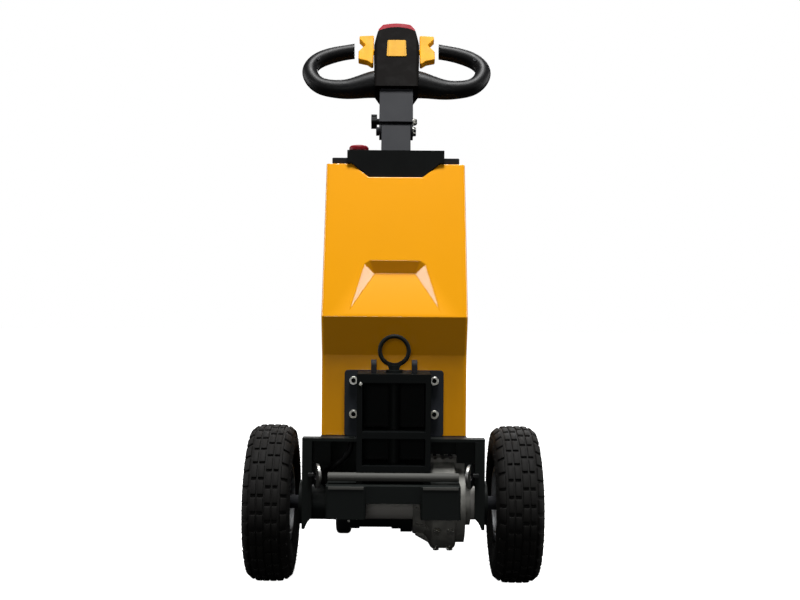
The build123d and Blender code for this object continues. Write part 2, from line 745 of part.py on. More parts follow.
def make_ears():
    floor = BRACKET_TOP + SEAT_GAP
    ears = []
    for side in (-1, 1):
        x = (side * EAR_INNER, side * (EAR_INNER + EAR))
        ear = block(x, (PIN_Y - EAR_LENGTH / 2, PIN_Y + EAR_LENGTH / 2), (floor, EAR_TOP))
        top = ear.edges().filter_by(Axis.X).group_by(Axis.Z)[-1]
        ears.append(fillet(top, EAR_LENGTH * 0.3))
    return Compound(children=[ears[0].solid(), ears[1].solid()])


def make_pin():
    floor = BRACKET_TOP + SEAT_GAP
    shaft = rod_z(0, PIN_Y, PIN_TIP, floor + 1, PIN_DIAMETER)
    shaft = chamfer(shaft.edges().group_by(Axis.Z)[0], 3)
    collar = rod_z(0, PIN_Y, floor, floor + PIN_COLLAR, PIN_COLLAR_DIAMETER)
    neck = rod_z(0, PIN_Y, floor, RING_CENTRE - RING_DIAMETER / 2 + RING_WIRE / 2, PIN_NECK)
    ring = Torus((RING_DIAMETER - RING_WIRE) / 2, RING_WIRE / 2)
    ring = Pos(0, PIN_Y, RING_CENTRE) * Rot(90, 0, 0) * ring
    low, high = floor + PIN_COLLAR, RING_CENTRE - RING_DIAMETER / 4
    narrow, wide = PIN_NECK / 2, PIN_FLARE_WIDTH / 2
    web = front_prism(
        ((-narrow, low), (narrow, low), (wide, high), (-wide, high)),
        PIN_Y - PIN_FLARE / 2,
        PIN_Y + PIN_FLARE / 2,
    )
    inside = Pos(0, PIN_Y, RING_CENTRE) * Rot(90, 0, 0) * Cylinder(RING_DIAMETER / 2 - RING_WIRE, PIN_NECK + 2)
    return shaft + collar + (neck + web - inside) + ring


def make_bumper():
    bumper = block((-BLOCK_INNER - 2, BLOCK_INNER + 2), (BLOCK_FRONT + 8, BLOCK_REAR), (RELIEF_TOP, BLOCK_TOP))
    for side in (-1, 1):
        x = (side * BLOCK_INNER, side * BLOCK_OUTER)
        piece = block(x, (BLOCK_FRONT, BLOCK_REAR - SEAT_GAP), (BLOCK_BOTTOM, BLOCK_TOP))
        bumper += fillet(piece.edges().filter_by(Axis.Z), BLOCK_EDGE)
    bumper -= block((-200, 200), (BLOCK_REAR - SEAT_GAP, BLOCK_REAR + 9), (BLOCK_BOTTOM - 9, BLOCK_TOP + 9))
    return bumper


def make_cross_bar():
    z = bar_height()
    return rod_x(-BAR_HALF_LENGTH, BAR_HALF_LENGTH, BAR_Y, z, BAR_DIAMETER)


def bar_height():
    """The cross bar just clears the bracket's underside."""
    return BRACKET_BOTTOM - SEAT_GAP - BAR_DIAMETER / 2


def make_lashing_eye(side):
    turn = EYE_TURN * side
    disc = Cylinder(EYE_DIAMETER / 2, EYE) - Cylinder(EYE_HOLE / 2, EYE + 2)
    disc = Pos(EYE_X * side, EYE_Y, EYE_Z) * Rot(0, 0, -turn) * Rot(0, 90, 0) * disc
    flange = FRAME_HALF_WIDTH - FRAME_FLANGE
    stem = block(
        (side * (flange - EYE_STEM), side * (flange + EYE_STEM)),
        (FRAME_FRONT - SEAT_GAP - EYE_STEM, FRAME_FRONT - SEAT_GAP),
        (EYE_Z - EYE_STEM / 2, EYE_Z + EYE_STEM / 2),
    )
    hole = Pos(EYE_X * side, EYE_Y, EYE_Z) * Rot(0, 0, -turn) * Rot(0, 90, 0) * Cylinder(EYE_HOLE / 2, EYE_DIAMETER)
    return disc + stem - hole


# Drive unit

def make_axle_tube():
    end = FRAME_INNER - SEAT_GAP
    tube = rod_x(-end, end, 0, AXLE_Z, AXLE_TUBE_DIAMETER)
    for side in (-1, 1):
        bore = STUB_DIAMETER + 2 * RUNNING_GAP
        tube -= rod_x(side * (end + 1), side * (end - STUB_REACH - 5), 0, AXLE_Z, bore)
    return tube


def case_slice(x0, x1, axle_radius, input_radius):
    """The gear case from x0 to x1: one round about the axle and one about the motor shaft."""
    axle = Pos(0, AXLE_Z) * Circle(axle_radius)
    motor = Pos(MOTOR_Y, MOTOR_Z) * Circle(input_radius)
    outline = make_hull((axle + motor).edges())
    return extrude(Plane.YZ.offset(x0) * outline, amount=x1 - x0, dir=(1, 0, 0))


def case_bell():
    """The round housing of the axle gear, from its narrow neck to its wide end, with cast ribs."""
    swell = CASE_START + CASE_NECK
    full = swell + CASE_SWELL
    profile = (
        (CASE_START, 0),
        (CASE_START, CASE_NECK_RADIUS),
        (swell, CASE_NECK_RADIUS + CASE_LIP_PROUD),
        (full, CASE_RADIUS),
        (CASE_END, CASE_RADIUS),
        (CASE_END, 0),
    )
    bell = revolve(Plane.XZ * Polygon(*profile, align=None), axis=Axis.X)
    rims = bell.edges().filter_by(GeomType.CIRCLE).filter_by(lambda edge: edge.radius > CASE_RADIUS - 1)
    bell = fillet(rims, CASE_EDGE)
    root = CASE_NECK_RADIUS - CASE_RIB
    rib_profile = (
        (CASE_START + CASE_RIB, root),
        (CASE_START + CASE_RIB, CASE_NECK_RADIUS + CASE_RIB),
        (full, CASE_RADIUS - CASE_EDGE),
        (full, root),
    )
    rib = front_prism(rib_profile, -CASE_RIB / 2, CASE_RIB / 2)
    for index in range(CASE_RIBS):
        bell += Rot(CASE_RIB_START + index * CASE_RIB_STEP, 0, 0) * rib
    return Pos(0, 0, AXLE_Z) * bell


def make_gear_case():
    half = BOSS_WIDTH / 2
    boss_top = AXLE_Z + BOSS_HEIGHT
    boss_start = CASE_END - BOSS_BACK
    case = case_bell() + case_slice(CASE_START, CASE_END, CASE_NECK_RADIUS, CASE_INPUT_RADIUS)
    lip = case_slice(CASE_END, CASE_END + CASE_LIP, CASE_LIP_RADIUS, CASE_INPUT_RADIUS + CASE_LIP_PROUD)
    cap = rod_x(CASE_END, CAP_END, 0, AXLE_Z, CAP_DIAMETER)
    boss = block((boss_start, boss_start + BOSS_LENGTH), (-half, half), (AXLE_Z, boss_top - BOSS_RIB))
    case += lip + cap + boss
    pitch = BOSS_LENGTH / (2 * BOSS_RIBS - 1)
    for index in range(BOSS_RIBS):
        x0 = boss_start + 2 * index * pitch
        case += block((x0, x0 + pitch), (-half, half), (boss_top - 2 * BOSS_RIB, boss_top))
    return case - rod_x(CASE_START - 1, CAP_END + 1, 0, AXLE_Z, AXLE_TUBE_DIAMETER + 2 * SEAT_GAP)


def make_motor():
    shell = MOTOR_DIAMETER - 2 * MOTOR_BELL_STEP
    body = rod_x(MOTOR_START, MOTOR_END, MOTOR_Y, MOTOR_Z, shell)
    body += rod_x(MOTOR_START, MOTOR_START + MOTOR_BELL, MOTOR_Y, MOTOR_Z, MOTOR_DIAMETER)
    body += rod_x(MOTOR_END - MOTOR_BELL, MOTOR_END, MOTOR_Y, MOTOR_Z, MOTOR_DIAMETER)
    flange = rod_x(MOTOR_END, MOTOR_END + MOTOR_FLANGE, MOTOR_Y, MOTOR_Z, MOTOR_FLANGE_DIAMETER)
    thick, wide, tall = TERMINAL
    terminal = block(
        (MOTOR_START - thick, MOTOR_START),
        (MOTOR_Y - wide / 2, MOTOR_Y + wide / 2),
        (MOTOR_Z - tall / 2, MOTOR_Z + tall / 2),
    )
    flange -= rod_x(MOTOR_END - 1, CASE_START, 0, AXLE_Z, AXLE_TUBE_DIAMETER + 2 * SEAT_GAP)
    return body + flange + terminal


def make_cable():
    end = (MOTOR_START - TERMINAL[0] - SEAT_GAP, MOTOR_Y + 4, MOTOR_Z + 6)
    route = [(x, y, AXLE_Z + rise) for x, y, rise in CABLE_ROUTE]
    return swept_tube(route + [end], CABLE_DIAMETER)


# Rear casters

def caster_levels():
    plate_top = TRAY_BOTTOM - SEAT_GAP
    bearing_top = plate_top - CASTER_PLATE
    crown_top = bearing_top - CASTER_BEARING - SEAT_GAP
    return plate_top, bearing_top, crown_top


def make_caster_plate(side):
    plate_top, bearing_top, crown_top = caster_levels()
    wide, long = CASTER_PLATE_SIZE
    x, y = side * CASTER_X, CASTER_Y
    plate = block((x - wide / 2, x + wide / 2), (y - long / 2, y + long / 2), (bearing_top, plate_top))
    plate += rod_z(x, y, bearing_top - CASTER_BEARING, bearing_top, CASTER_BEARING_DIAMETER)
    plate -= rod_z(x, y, crown_top - 1, bearing_top, KING_PIN_DIAMETER + 2 * RUNNING_GAP)
    return plate


def make_caster_fork(side):
    crown_top = caster_levels()[2]
    x, y = side * CASTER_X, CASTER_Y
    wheel_y = CASTER_Y + CASTER_TRAIL
    wheel_z = CASTER_WHEEL_DIAMETER / 2
    half = CASTER_WHEEL_WIDTH / 2 + FORK_GAP
    crown = rod_z(x, y, crown_top - FORK_WALL, crown_top, CASTER_BEARING_DIAMETER)
    crown += block((x - half - FORK_WALL, x + half + FORK_WALL), (y, y + 30), (crown_top - FORK_WALL, crown_top))
    fork = crown + rod_z(x, y, crown_top - 1, crown_top + CASTER_BEARING, KING_PIN_DIAMETER)
    cheek = (
        (y - 26, crown_top),
        (y + 30, crown_top),
        (wheel_y + 14, wheel_z),
        (wheel_y, wheel_z - 14),
        (wheel_y - 14, wheel_z),
    )
    for end in (-1, 1):
        inner = x + end * half
        fork += side_prism(cheek, min(inner, inner + end * FORK_WALL), max(inner, inner + end * FORK_WALL))
    ends = half + FORK_WALL + 5
    fork += rod_x(x - ends, x + ends, wheel_y, wheel_z, CASTER_AXLE_DIAMETER)
    return fork


def flat_round(x, radius):
    """A many-sided round at x, for the caster wheels' tread and recess."""
    return Plane.YZ.offset(x) * RegularPolygon(radius, CASTER_FLATS)


def make_caster_wheel(side):
    half = CASTER_WHEEL_WIDTH / 2
    radius = CASTER_WHEEL_DIAMETER / 2
    left = [(inset - half, radius - drop) for inset, drop in CASTER_CROWN]
    right = [(-x, r) for x, r in reversed(left)]
    wheel = loft([flat_round(x, r) for x, r in left + right], ruled=True)
    for end in (-1, 1):
        recess = [flat_round(end * x, radius - CASTER_TREAD) for x in (half - CASTER_RECESS, half + 1)]
        wheel -= loft(recess, ruled=True)
    hub = half + FORK_GAP - 1
    wheel += rod_x(-hub, hub, 0, 0, CASTER_HUB_DIAMETER)
    wheel -= rod_x(-hub - 1, hub + 1, 0, 0, CASTER_AXLE_DIAMETER + 2 * RUNNING_GAP)
    return Pos(side * CASTER_X, CASTER_Y + CASTER_TRAIL, radius) * wheel


# Tiller: x along X, y down and rearward, z along the tiller

def tiller_place():
    lean = radians(TILLER_LEAN)
    plane = Plane(origin=(0, TILLER_Y, TILLER_Z), x_dir=(1, 0, 0), z_dir=(0, sin(lean), cos(lean)))
    return plane.location


def post_prism(grow):
    """The post before its foot is cut level, grown for the hole that it stands in."""
    half = POST_WIDTH / 2 + grow
    depth = POST_DEPTH / 2 + grow
    shaft = block((-half, half), (-depth, depth), (-70, PIVOT_S))
    top = rod_x(-half, half, 0, PIVOT_S, 2 * depth)
    return tiller_place() * (shaft + top)


def make_post():
    floor = COVER_TOP + TOP_PLATE + SEAT_GAP
    post = post_prism(0)
    post -= tiller_place() * rod_x(-60, 60, 0, PIVOT_S, PIVOT_DIAMETER + 0.2)
    return post - below(floor)


def make_pivot_bolt():
    reach = POST_WIDTH / 2 + RUNNING_GAP + SLEEVE_WALL + 0.5
    bolt = rod_x(-reach - 6, reach + 6, 0, PIVOT_S, PIVOT_DIAMETER)
    for side in (-1, 1):
        bolt += rod_x(side * reach, side * (reach + 6), 0, PIVOT_S, PIVOT_HEAD)
    return tiller_place() * bolt


def make_sleeve():
    inner = POST_WIDTH / 2 + RUNNING_GAP
    outer = inner + SLEEVE_WALL
    depth_in = POST_DEPTH / 2 + SLEEVE_ROOM
    depth_out = depth_in + SLEEVE_WALL
    end = HEAD_FOOT + HEAD_SOCKET - SEAT_GAP
    sleeve = block((-outer, outer), (-depth_out, depth_out), (SLEEVE_START, end))
    cheeks = block((-outer, outer), (-POST_DEPTH / 2, POST_DEPTH / 2), (PIVOT_S, SLEEVE_START))
    cheeks += rod_x(-outer, outer, 0, PIVOT_S, POST_DEPTH)
    sleeve += cheeks
    sleeve -= block((-inner, inner), (-depth_in, depth_in), (0, end + 1))
    sleeve -= rod_x(-outer - 1, outer + 1, 0, PIVOT_S, PIVOT_DIAMETER + 0.2)
    sleeve -= rod_x(-outer - 1, outer + 1, 0, CLAMP_S, CLAMP_DIAMETER + 0.2)
    return tiller_place() * sleeve


def make_clamp():
    outer = POST_WIDTH / 2 + RUNNING_GAP + SLEEVE_WALL
    start = outer + 5
    screw = rod_x(-start - 2, outer + 9, 0, CLAMP_S, CLAMP_DIAMETER)
    screw += rod_x(outer + SEAT_GAP, outer + 8, 0, CLAMP_S, CLAMP_DIAMETER * 1.6)
    knob = rod_x(-start - KNOB_LENGTH, -start, 0, CLAMP_S, KNOB_DIAMETER - 6)
    for index in range(KNOB_LOBES):
        angle = radians(360 * index / KNOB_LOBES)
        reach = KNOB_DIAMETER / 2 - 5
        knob += rod_x(-start - KNOB_LENGTH, -start, reach * cos(angle), CLAMP_S + reach * sin(angle), 10)
    collar = rod_x(-start, -outer - SEAT_GAP, 0, CLAMP_S, CLAMP_DIAMETER * 1.6)
    return tiller_place() * (screw + knob + collar)


def head_front():
    """The head's outline from the front, x across and y along the tiller, with its arched crown."""
    side = (
        (HEAD_FOOT_WIDTH / 2, HEAD_FOOT),
        (HEAD_WIDTH / 2, HEAD_WAIST),
        (HEAD_WIDTH / 2, HEAD_SIDE_TOP),
        (HEAD_CROWN_WIDTH / 2, HEAD_CROWN - HEAD_CROWN_DROP),
    )
    other = [(-x, s) for x, s in side]
    arch = ThreePointArc(side[-1], (0, HEAD_CROWN), other[-1])
    face = make_face(Polyline(*other[::-1], *side) + arch)
    shoulders = face.vertices().filter_by(lambda v: HEAD_SIDE_TOP - 1 < v.Y < HEAD_SIDE_TOP + 1)
    return fillet(shoulders, HEAD_SHOULDER)


def head_section():
    """The head's section, x across and y to the rear: square in front, cut back behind."""
    half = HEAD_WIDTH / 2 + SEAT_GAP
    rear = HEAD_REAR_WIDTH / 2
    depth = HEAD_DEPTH / 2
    points = ((half, -depth), (half, depth - HEAD_BEVEL), (rear, depth))
    face = Polygon(*points, *[(-x, y) for x, y in points[::-1]], align=None)
    return fillet(face.vertices(), HEAD_EDGE)


def head_form(grow):
    """The head before it is hollowed: its front, its section and its side outline in common."""
    front, section = head_front(), head_section()
    if grow > 0:
        front = offset(front, amount=grow, kind=Kind.INTERSECTION)
        section = offset(section, amount=grow, kind=Kind.INTERSECTION)
    depth = HEAD_DEPTH / 2 + grow
    foot, rear, top = HEAD_FOOT - grow, HEAD_FOOT_REAR + grow, HEAD_CROWN + grow
    profile = ((-depth, foot), (-depth, top), (depth, top), (depth, HEAD_FOOT + HEAD_FOOT_RISE), (rear, foot))
    across = extrude(Plane.XZ.offset(depth + 1) * front, amount=2 * depth + 2, dir=(0, 1, 0))
    along = extrude(Plane.XY.offset(foot) * section, amount=top - foot, dir=(0, 0, 1))
    return across & along & side_prism(profile, -HEAD_WIDTH, HEAD_WIDTH)


def make_head():
    x = POST_WIDTH / 2 + RUNNING_GAP + SLEEVE_WALL + SEAT_GAP
    y = POST_DEPTH / 2 + SLEEVE_ROOM + SLEEVE_WALL + SEAT_GAP
    socket = block((-x, x), (-y, y), (HEAD_FOOT - 1, HEAD_FOOT + HEAD_SOCKET))
    return tiller_place() * (head_form(0) - socket)


def make_button():
    half, shoulder = BUTTON_WIDTH / 2, BUTTON_SHOULDER_WIDTH / 2
    side_top, shoulder_top, top = [HEAD_CROWN + step for step in BUTTON_STEPS]
    side = (
        (half, HEAD_SIDE_TOP),
        (half, side_top),
        (shoulder, shoulder_top),
    )
    other = [(-x, s) for x, s in side]
    arch = ThreePointArc(side[-1], (0, top), other[-1])
    face = make_face(Polyline(*other[::-1], *side) + arch)
    depth = HEAD_DEPTH / 2 - BUTTON_INSET
    button = extrude(Plane.XZ.offset(depth) * face, amount=2 * depth, dir=(0, 1, 0))
    rims = button.edges().filter_by(lambda edge: abs(abs(edge.center().Y) - depth) < 0.01
                                    and edge.center().Z > side_top)
    button = fillet(rims, BUTTON_EDGE)
    seat = extrude(Plane.XZ.offset(HEAD_DEPTH) * head_front(), amount=2 * HEAD_DEPTH, dir=(0, 1, 0))
    return tiller_place() * (button - Pos(0, 0, SEAT_GAP) * seat)


def make_label():
    face = -HEAD_DEPTH / 2 - SEAT_GAP
    low, high = [HEAD_FOOT + share * HEAD_LENGTH for share in LABEL_SHARES]
    foot, top = LABEL_WIDTH / 2, LABEL_TOP_WIDTH / 2
    plate = front_prism(((-foot, low), (foot, low), (top, high), (-top, high)), face - LABEL, face)
    return tiller_place() * fillet(plate.edges().filter_by(Axis.Y), LABEL_CORNER)


def make_throttle(side):
    face = Plane.XZ * Polygon(*THROTTLE_OUTLINE, align=None)
    wing = extrude(face, THROTTLE / 2, both=True)
    wing = fillet(wing.edges().filter_by(Axis.Y), THROTTLE_EDGE)
    wing = fillet(wing.edges().group_by(Axis.Y)[0] + wing.edges().group_by(Axis.Y)[-1], THROTTLE_EDGE - 0.5)
    spindle = rod_x(HEAD_WIDTH / 2 + SEAT_GAP, SPINDLE_TIP, 0, 0, SPINDLE_DIAMETER)
    throttle = Pos(0, 0, THROTTLE_S) * (wing + spindle)
    if side < 0:
        throttle = mirror(throttle, about=Plane.YZ)
    return tiller_place() * throttle


def make_grip(side):
    """A loop grip: rounds of changing radius lofted along its bend, from the head to the cut tip."""
    middles = [Vector(x, 0, HEAD_FOOT + share * HEAD_LENGTH) for x, share, radius in GRIP_STATIONS]
    aims = [after - before for before, after in zip([middles[0], *middles[:-1]], [*middles[1:], middles[-1]])]
    rounds = []
    for middle, aim, station in zip(middles, aims, GRIP_STATIONS):
        rounds.append(Plane(origin=middle, x_dir=(0, 1, 0), z_dir=aim) * Circle(station[2]))
    grip = loft(rounds)
    tip = block((0, GRIP_TIP_X), (-HEAD_DEPTH, HEAD_DEPTH), (HEAD_WAIST, HEAD_CROWN))
    grip = grip - tip - head_form(SEAT_GAP)
    if side < 0:
        grip = mirror(grip, about=Plane.YZ)
    return tiller_place() * grip


def make_all():
    """Every node by name, still with the drive axle at y = 0."""
    nodes = {
        "deck_plate": make_deck(),
        "rear_tray": make_tray(),
        "battery_block": make_battery(),
        "front_cover": make_front_cover(),
        "rear_cover": make_rear_cover(),
        "top_plate": make_top_plate(),
        "console": make_console(),
        "emergency_stop": make_stop(),
        "key_switch": make_key(),
        "charge_gauge": make_gauge(),
        "hitch_plate": make_hitch_plate(),
        "hitch_bracket": make_bracket(),
        "hitch_ears": make_ears(),
        "coupling_pin": make_pin(),
        "front_bumper": make_bumper(),
        "cross_bar": make_cross_bar(),
        "axle_tube": make_axle_tube(),
        "gear_case": make_gear_case(),
        "drive_motor": make_motor(),
        "motor_cable": make_cable(),
        "tiller_post": make_post(),
        "pivot_bolt": make_pivot_bolt(),
        "tiller_sleeve": make_sleeve(),
        "clamp_knob": make_clamp(),
        "tiller_head": make_head(),
        "safety_button": make_button(),
        "label_plate": make_label(),
    }
    tyre = make_tyre()
    for name, side in SIDES:
        turn = Rot(0, 0, 0) if side > 0 else Rot(0, 0, 180)
        wheel = Pos(side * WHEEL_X, 0, AXLE_Z) * turn
        nodes["side_frame_" + name] = make_side_frame(side)
        nodes["tyre_" + name] = wheel * tyre
        nodes["rim_" + name] = wheel * make_rim()
        nodes["hub_" + name] = wheel * make_hub()
        nodes["lashing_eye_" + name] = make_lashing_eye(side)
        nodes["caster_plate_" + name] = make_caster_plate(side)
        nodes["caster_fork_" + name] = make_caster_fork(side)
        nodes["caster_wheel_" + name] = make_caster_wheel(side)
        nodes["throttle_" + name] = make_throttle(side)
        nodes["grip_" + name] = make_grip(side)
    return nodes


def place_origin(nodes):
    """Move every node so that the origin is under the middle of the whole machine's box."""
    boxes = [node.bounding_box() for node in nodes.values()]
    low = [min(getattr(box.min, axis) for box in boxes) for axis in "XYZ"]
    high = [max(getattr(box.max, axis) for box in boxes) for axis in "XYZ"]
    shift = Pos(-(low[0] + high[0]) / 2, -(low[1] + high[1]) / 2, -low[2])
    return shift, {name: shift * node for name, node in nodes.items()}


SHIFT, NODES = place_origin(make_all())
os.makedirs("parts", exist_ok=True)
for node_name, node in NODES.items():
    export_step(node, f"parts/{node_name}.step")
print("moved by", [round(value, 4) for value in SHIFT.position])
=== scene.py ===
"""Finishes and fine pieces of the pedestrian tow tug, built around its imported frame.

Everything is in metres: +Z up, the coupling towards -Y, +X at the operator's left hand.
"""

from __future__ import annotations

import json
import logging
import math
from dataclasses import dataclass, field
from enum import Enum
from typing import Dict, List, Sequence, Tuple, Union

import bmesh
import bpy
import numpy as np
from mathutils import Matrix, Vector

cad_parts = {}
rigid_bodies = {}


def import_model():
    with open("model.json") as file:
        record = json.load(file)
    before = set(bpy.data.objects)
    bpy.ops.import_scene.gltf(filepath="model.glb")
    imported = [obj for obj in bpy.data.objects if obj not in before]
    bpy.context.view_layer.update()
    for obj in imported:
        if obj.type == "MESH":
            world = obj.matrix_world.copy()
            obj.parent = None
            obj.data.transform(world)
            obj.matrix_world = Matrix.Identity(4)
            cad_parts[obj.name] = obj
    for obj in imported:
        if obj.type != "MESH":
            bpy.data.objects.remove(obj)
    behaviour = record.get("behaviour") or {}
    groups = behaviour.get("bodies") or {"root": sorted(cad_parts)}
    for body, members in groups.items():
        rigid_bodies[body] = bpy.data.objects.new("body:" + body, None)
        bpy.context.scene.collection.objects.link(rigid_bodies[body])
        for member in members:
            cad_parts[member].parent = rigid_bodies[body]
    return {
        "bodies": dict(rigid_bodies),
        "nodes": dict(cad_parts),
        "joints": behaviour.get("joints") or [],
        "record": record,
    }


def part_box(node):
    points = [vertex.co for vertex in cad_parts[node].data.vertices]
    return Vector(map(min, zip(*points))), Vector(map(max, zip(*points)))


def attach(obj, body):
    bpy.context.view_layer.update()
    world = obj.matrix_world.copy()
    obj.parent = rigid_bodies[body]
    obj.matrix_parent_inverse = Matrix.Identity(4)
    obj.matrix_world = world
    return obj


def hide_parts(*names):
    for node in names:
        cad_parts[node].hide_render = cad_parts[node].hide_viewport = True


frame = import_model()
LOG = logging.getLogger("tug")
AXLE = np.mean([list(corner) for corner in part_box("axle_tube")], axis=0)

Color = Tuple[float, float, float]
Triple = Tuple[float, float, float]
Profile = Tuple[Tuple[float, float], ...]
Curve = Tuple[np.ndarray, np.ndarray]  # places across a tread and their radii, from crown to bead
Value = Union[float, int, "Signal"]

UP = (0.0, 0.0, 1.0)
DOWN = (0.0, 0.0, -1.0)
FRONT = (0.0, -1.0, 0.0)
LEFT = (1.0, 0.0, 0.0)
RIGHT = (-1.0, 0.0, 0.0)
MIDPLANE = np.array([0.0, 1.0, 1.0])  # a point times this lies on the machine's middle plane
WHITE = (1.0, 1.0, 1.0)


class Side(Enum):
    """The machine's two sides, as the operator sees them from behind the tiller."""

    LEFT = 1
    RIGHT = -1

    @property
    def tag(self) -> str:
        """The side's word in a node's name."""
        return self.name.lower()


class Shading(Enum):
    """How a piece's faces meet: the angle in degrees above which an edge stays sharp."""

    CRISP = 32.0
    FLAT = 1.0


def on_axle(x: float) -> np.ndarray:
    """The point of the drive axle's line at this place across the machine."""
    return np.array([x, AXLE[1], AXLE[2]])


def srgb(red: int, green: int, blue: int) -> Color:
    """Turns a colour written from 0 to 255 into linear light, by the sRGB curve.

    Args:
        red: red part of the colour.
        green: green part of the colour.
        blue: blue part of the colour.

    Returns:
        The linear colour.
    """
    parts = np.array([red, green, blue]) / 255.0
    linear = np.where(parts <= 0.04045, parts / 12.92, ((parts + 0.055) / 1.055) ** 2.4)
    return tuple(float(part) for part in linear)


def shade(color: Color, factor: float) -> Color:
    """Makes a linear colour darker or lighter by a factor."""
    return tuple(min(1.0, part * factor) for part in color)


class Signal:
    """A shader socket that takes part in Python arithmetic."""

    def __init__(self, tree: "Tree", socket: bpy.types.NodeSocket) -> None:
        """Wraps one output socket of a tree."""
        self.tree = tree
        self.socket = socket

    def __add__(self, other: Value) -> "Signal":
        """self + other."""
        return self.tree.math("ADD", self, other)

    __radd__ = __add__

    def __sub__(self, other: Value) -> "Signal":
        """self - other."""
        return self.tree.math("SUBTRACT", self, other)

    def __rsub__(self, other: Value) -> "Signal":
        """other - self."""
        return self.tree.math("SUBTRACT", other, self)

    def __mul__(self, other: Value) -> "Signal":
        """self * other."""
        return self.tree.math("MULTIPLY", self, other)

    __rmul__ = __mul__

    def __truediv__(self, other: Value) -> "Signal":
        """self / other."""
        return self.tree.math("DIVIDE", self, other)

    def __rtruediv__(self, other: Value) -> "Signal":
        """other / self."""
        return self.tree.math("DIVIDE", other, self)

    def __pow__(self, other: Value) -> "Signal":
        """self to the power of other."""
        return self.tree.math("POWER", self, other)

    def __abs__(self) -> "Signal":
        """The size of self."""
        return self.tree.math("ABSOLUTE", self, 0.0)

    def rise(self, low: float, high: float) -> "Signal":
        """Steps smoothly from 0 to 1.

        Args:
            low: where the step leaves 0.
            high: where it reaches 1.

        Returns:
            The step.
        """
        settings = {"interpolation_type": "SMOOTHSTEP"}
        links = {"Value": self, "From Min": low, "From Max": high}
        return self.tree.node("ShaderNodeMapRange", settings, links, "Result")


class Tree:
    """A node tree that is filled through one method."""

    def __init__(self, tree: bpy.types.NodeTree) -> None:
        """Empties a tree and keeps it."""
        self.tree = tree
        self.tree.nodes.clear()

    def _feed(self, socket: bpy.types.NodeSocket, value: object) -> None:
        """Links a signal to a socket, or sets the socket's own value.

        Args:
            socket: the input socket.
            value: a signal, or a number, colour or vector.
        """
        if isinstance(value, Signal):
            self.tree.links.new(value.socket, socket)
        elif isinstance(value, tuple) and len(value) == 3 and socket.type == "RGBA":
            socket.default_value = (*value, 1.0)
        else:
            socket.default_value = value

    def node(self, kind: str, settings: Dict[str, object], inputs: Dict[Union[str, int], object],
             output: Union[str, int] = 0) -> Signal:
        """Adds a node.

        Args:
            kind: the node's type.
            settings: its own properties, set before its sockets.
            inputs: values or signals for its sockets, by name or number.
            output: the socket that is returned.

        Returns:
            The chosen output.
        """
        made = self.tree.nodes.new(kind)
        for name, setting in settings.items():
            setattr(made, name, setting)
        for key, value in inputs.items():
            self._feed(made.inputs[key], value)
        return Signal(self, made.outputs[output])

    def math(self, operation: str, first: Value, second: Value) -> Signal:
        """Adds a Math node on two values or signals and returns its result."""
        return self.node("ShaderNodeMath", {"operation": operation}, {0: first, 1: second})

    def show(self, kind: str, surface: Signal) -> None:
        """Ends the tree in an output node of this type, fed with a surface."""
        self._feed(self.tree.nodes.new(kind).inputs["Surface"], surface)


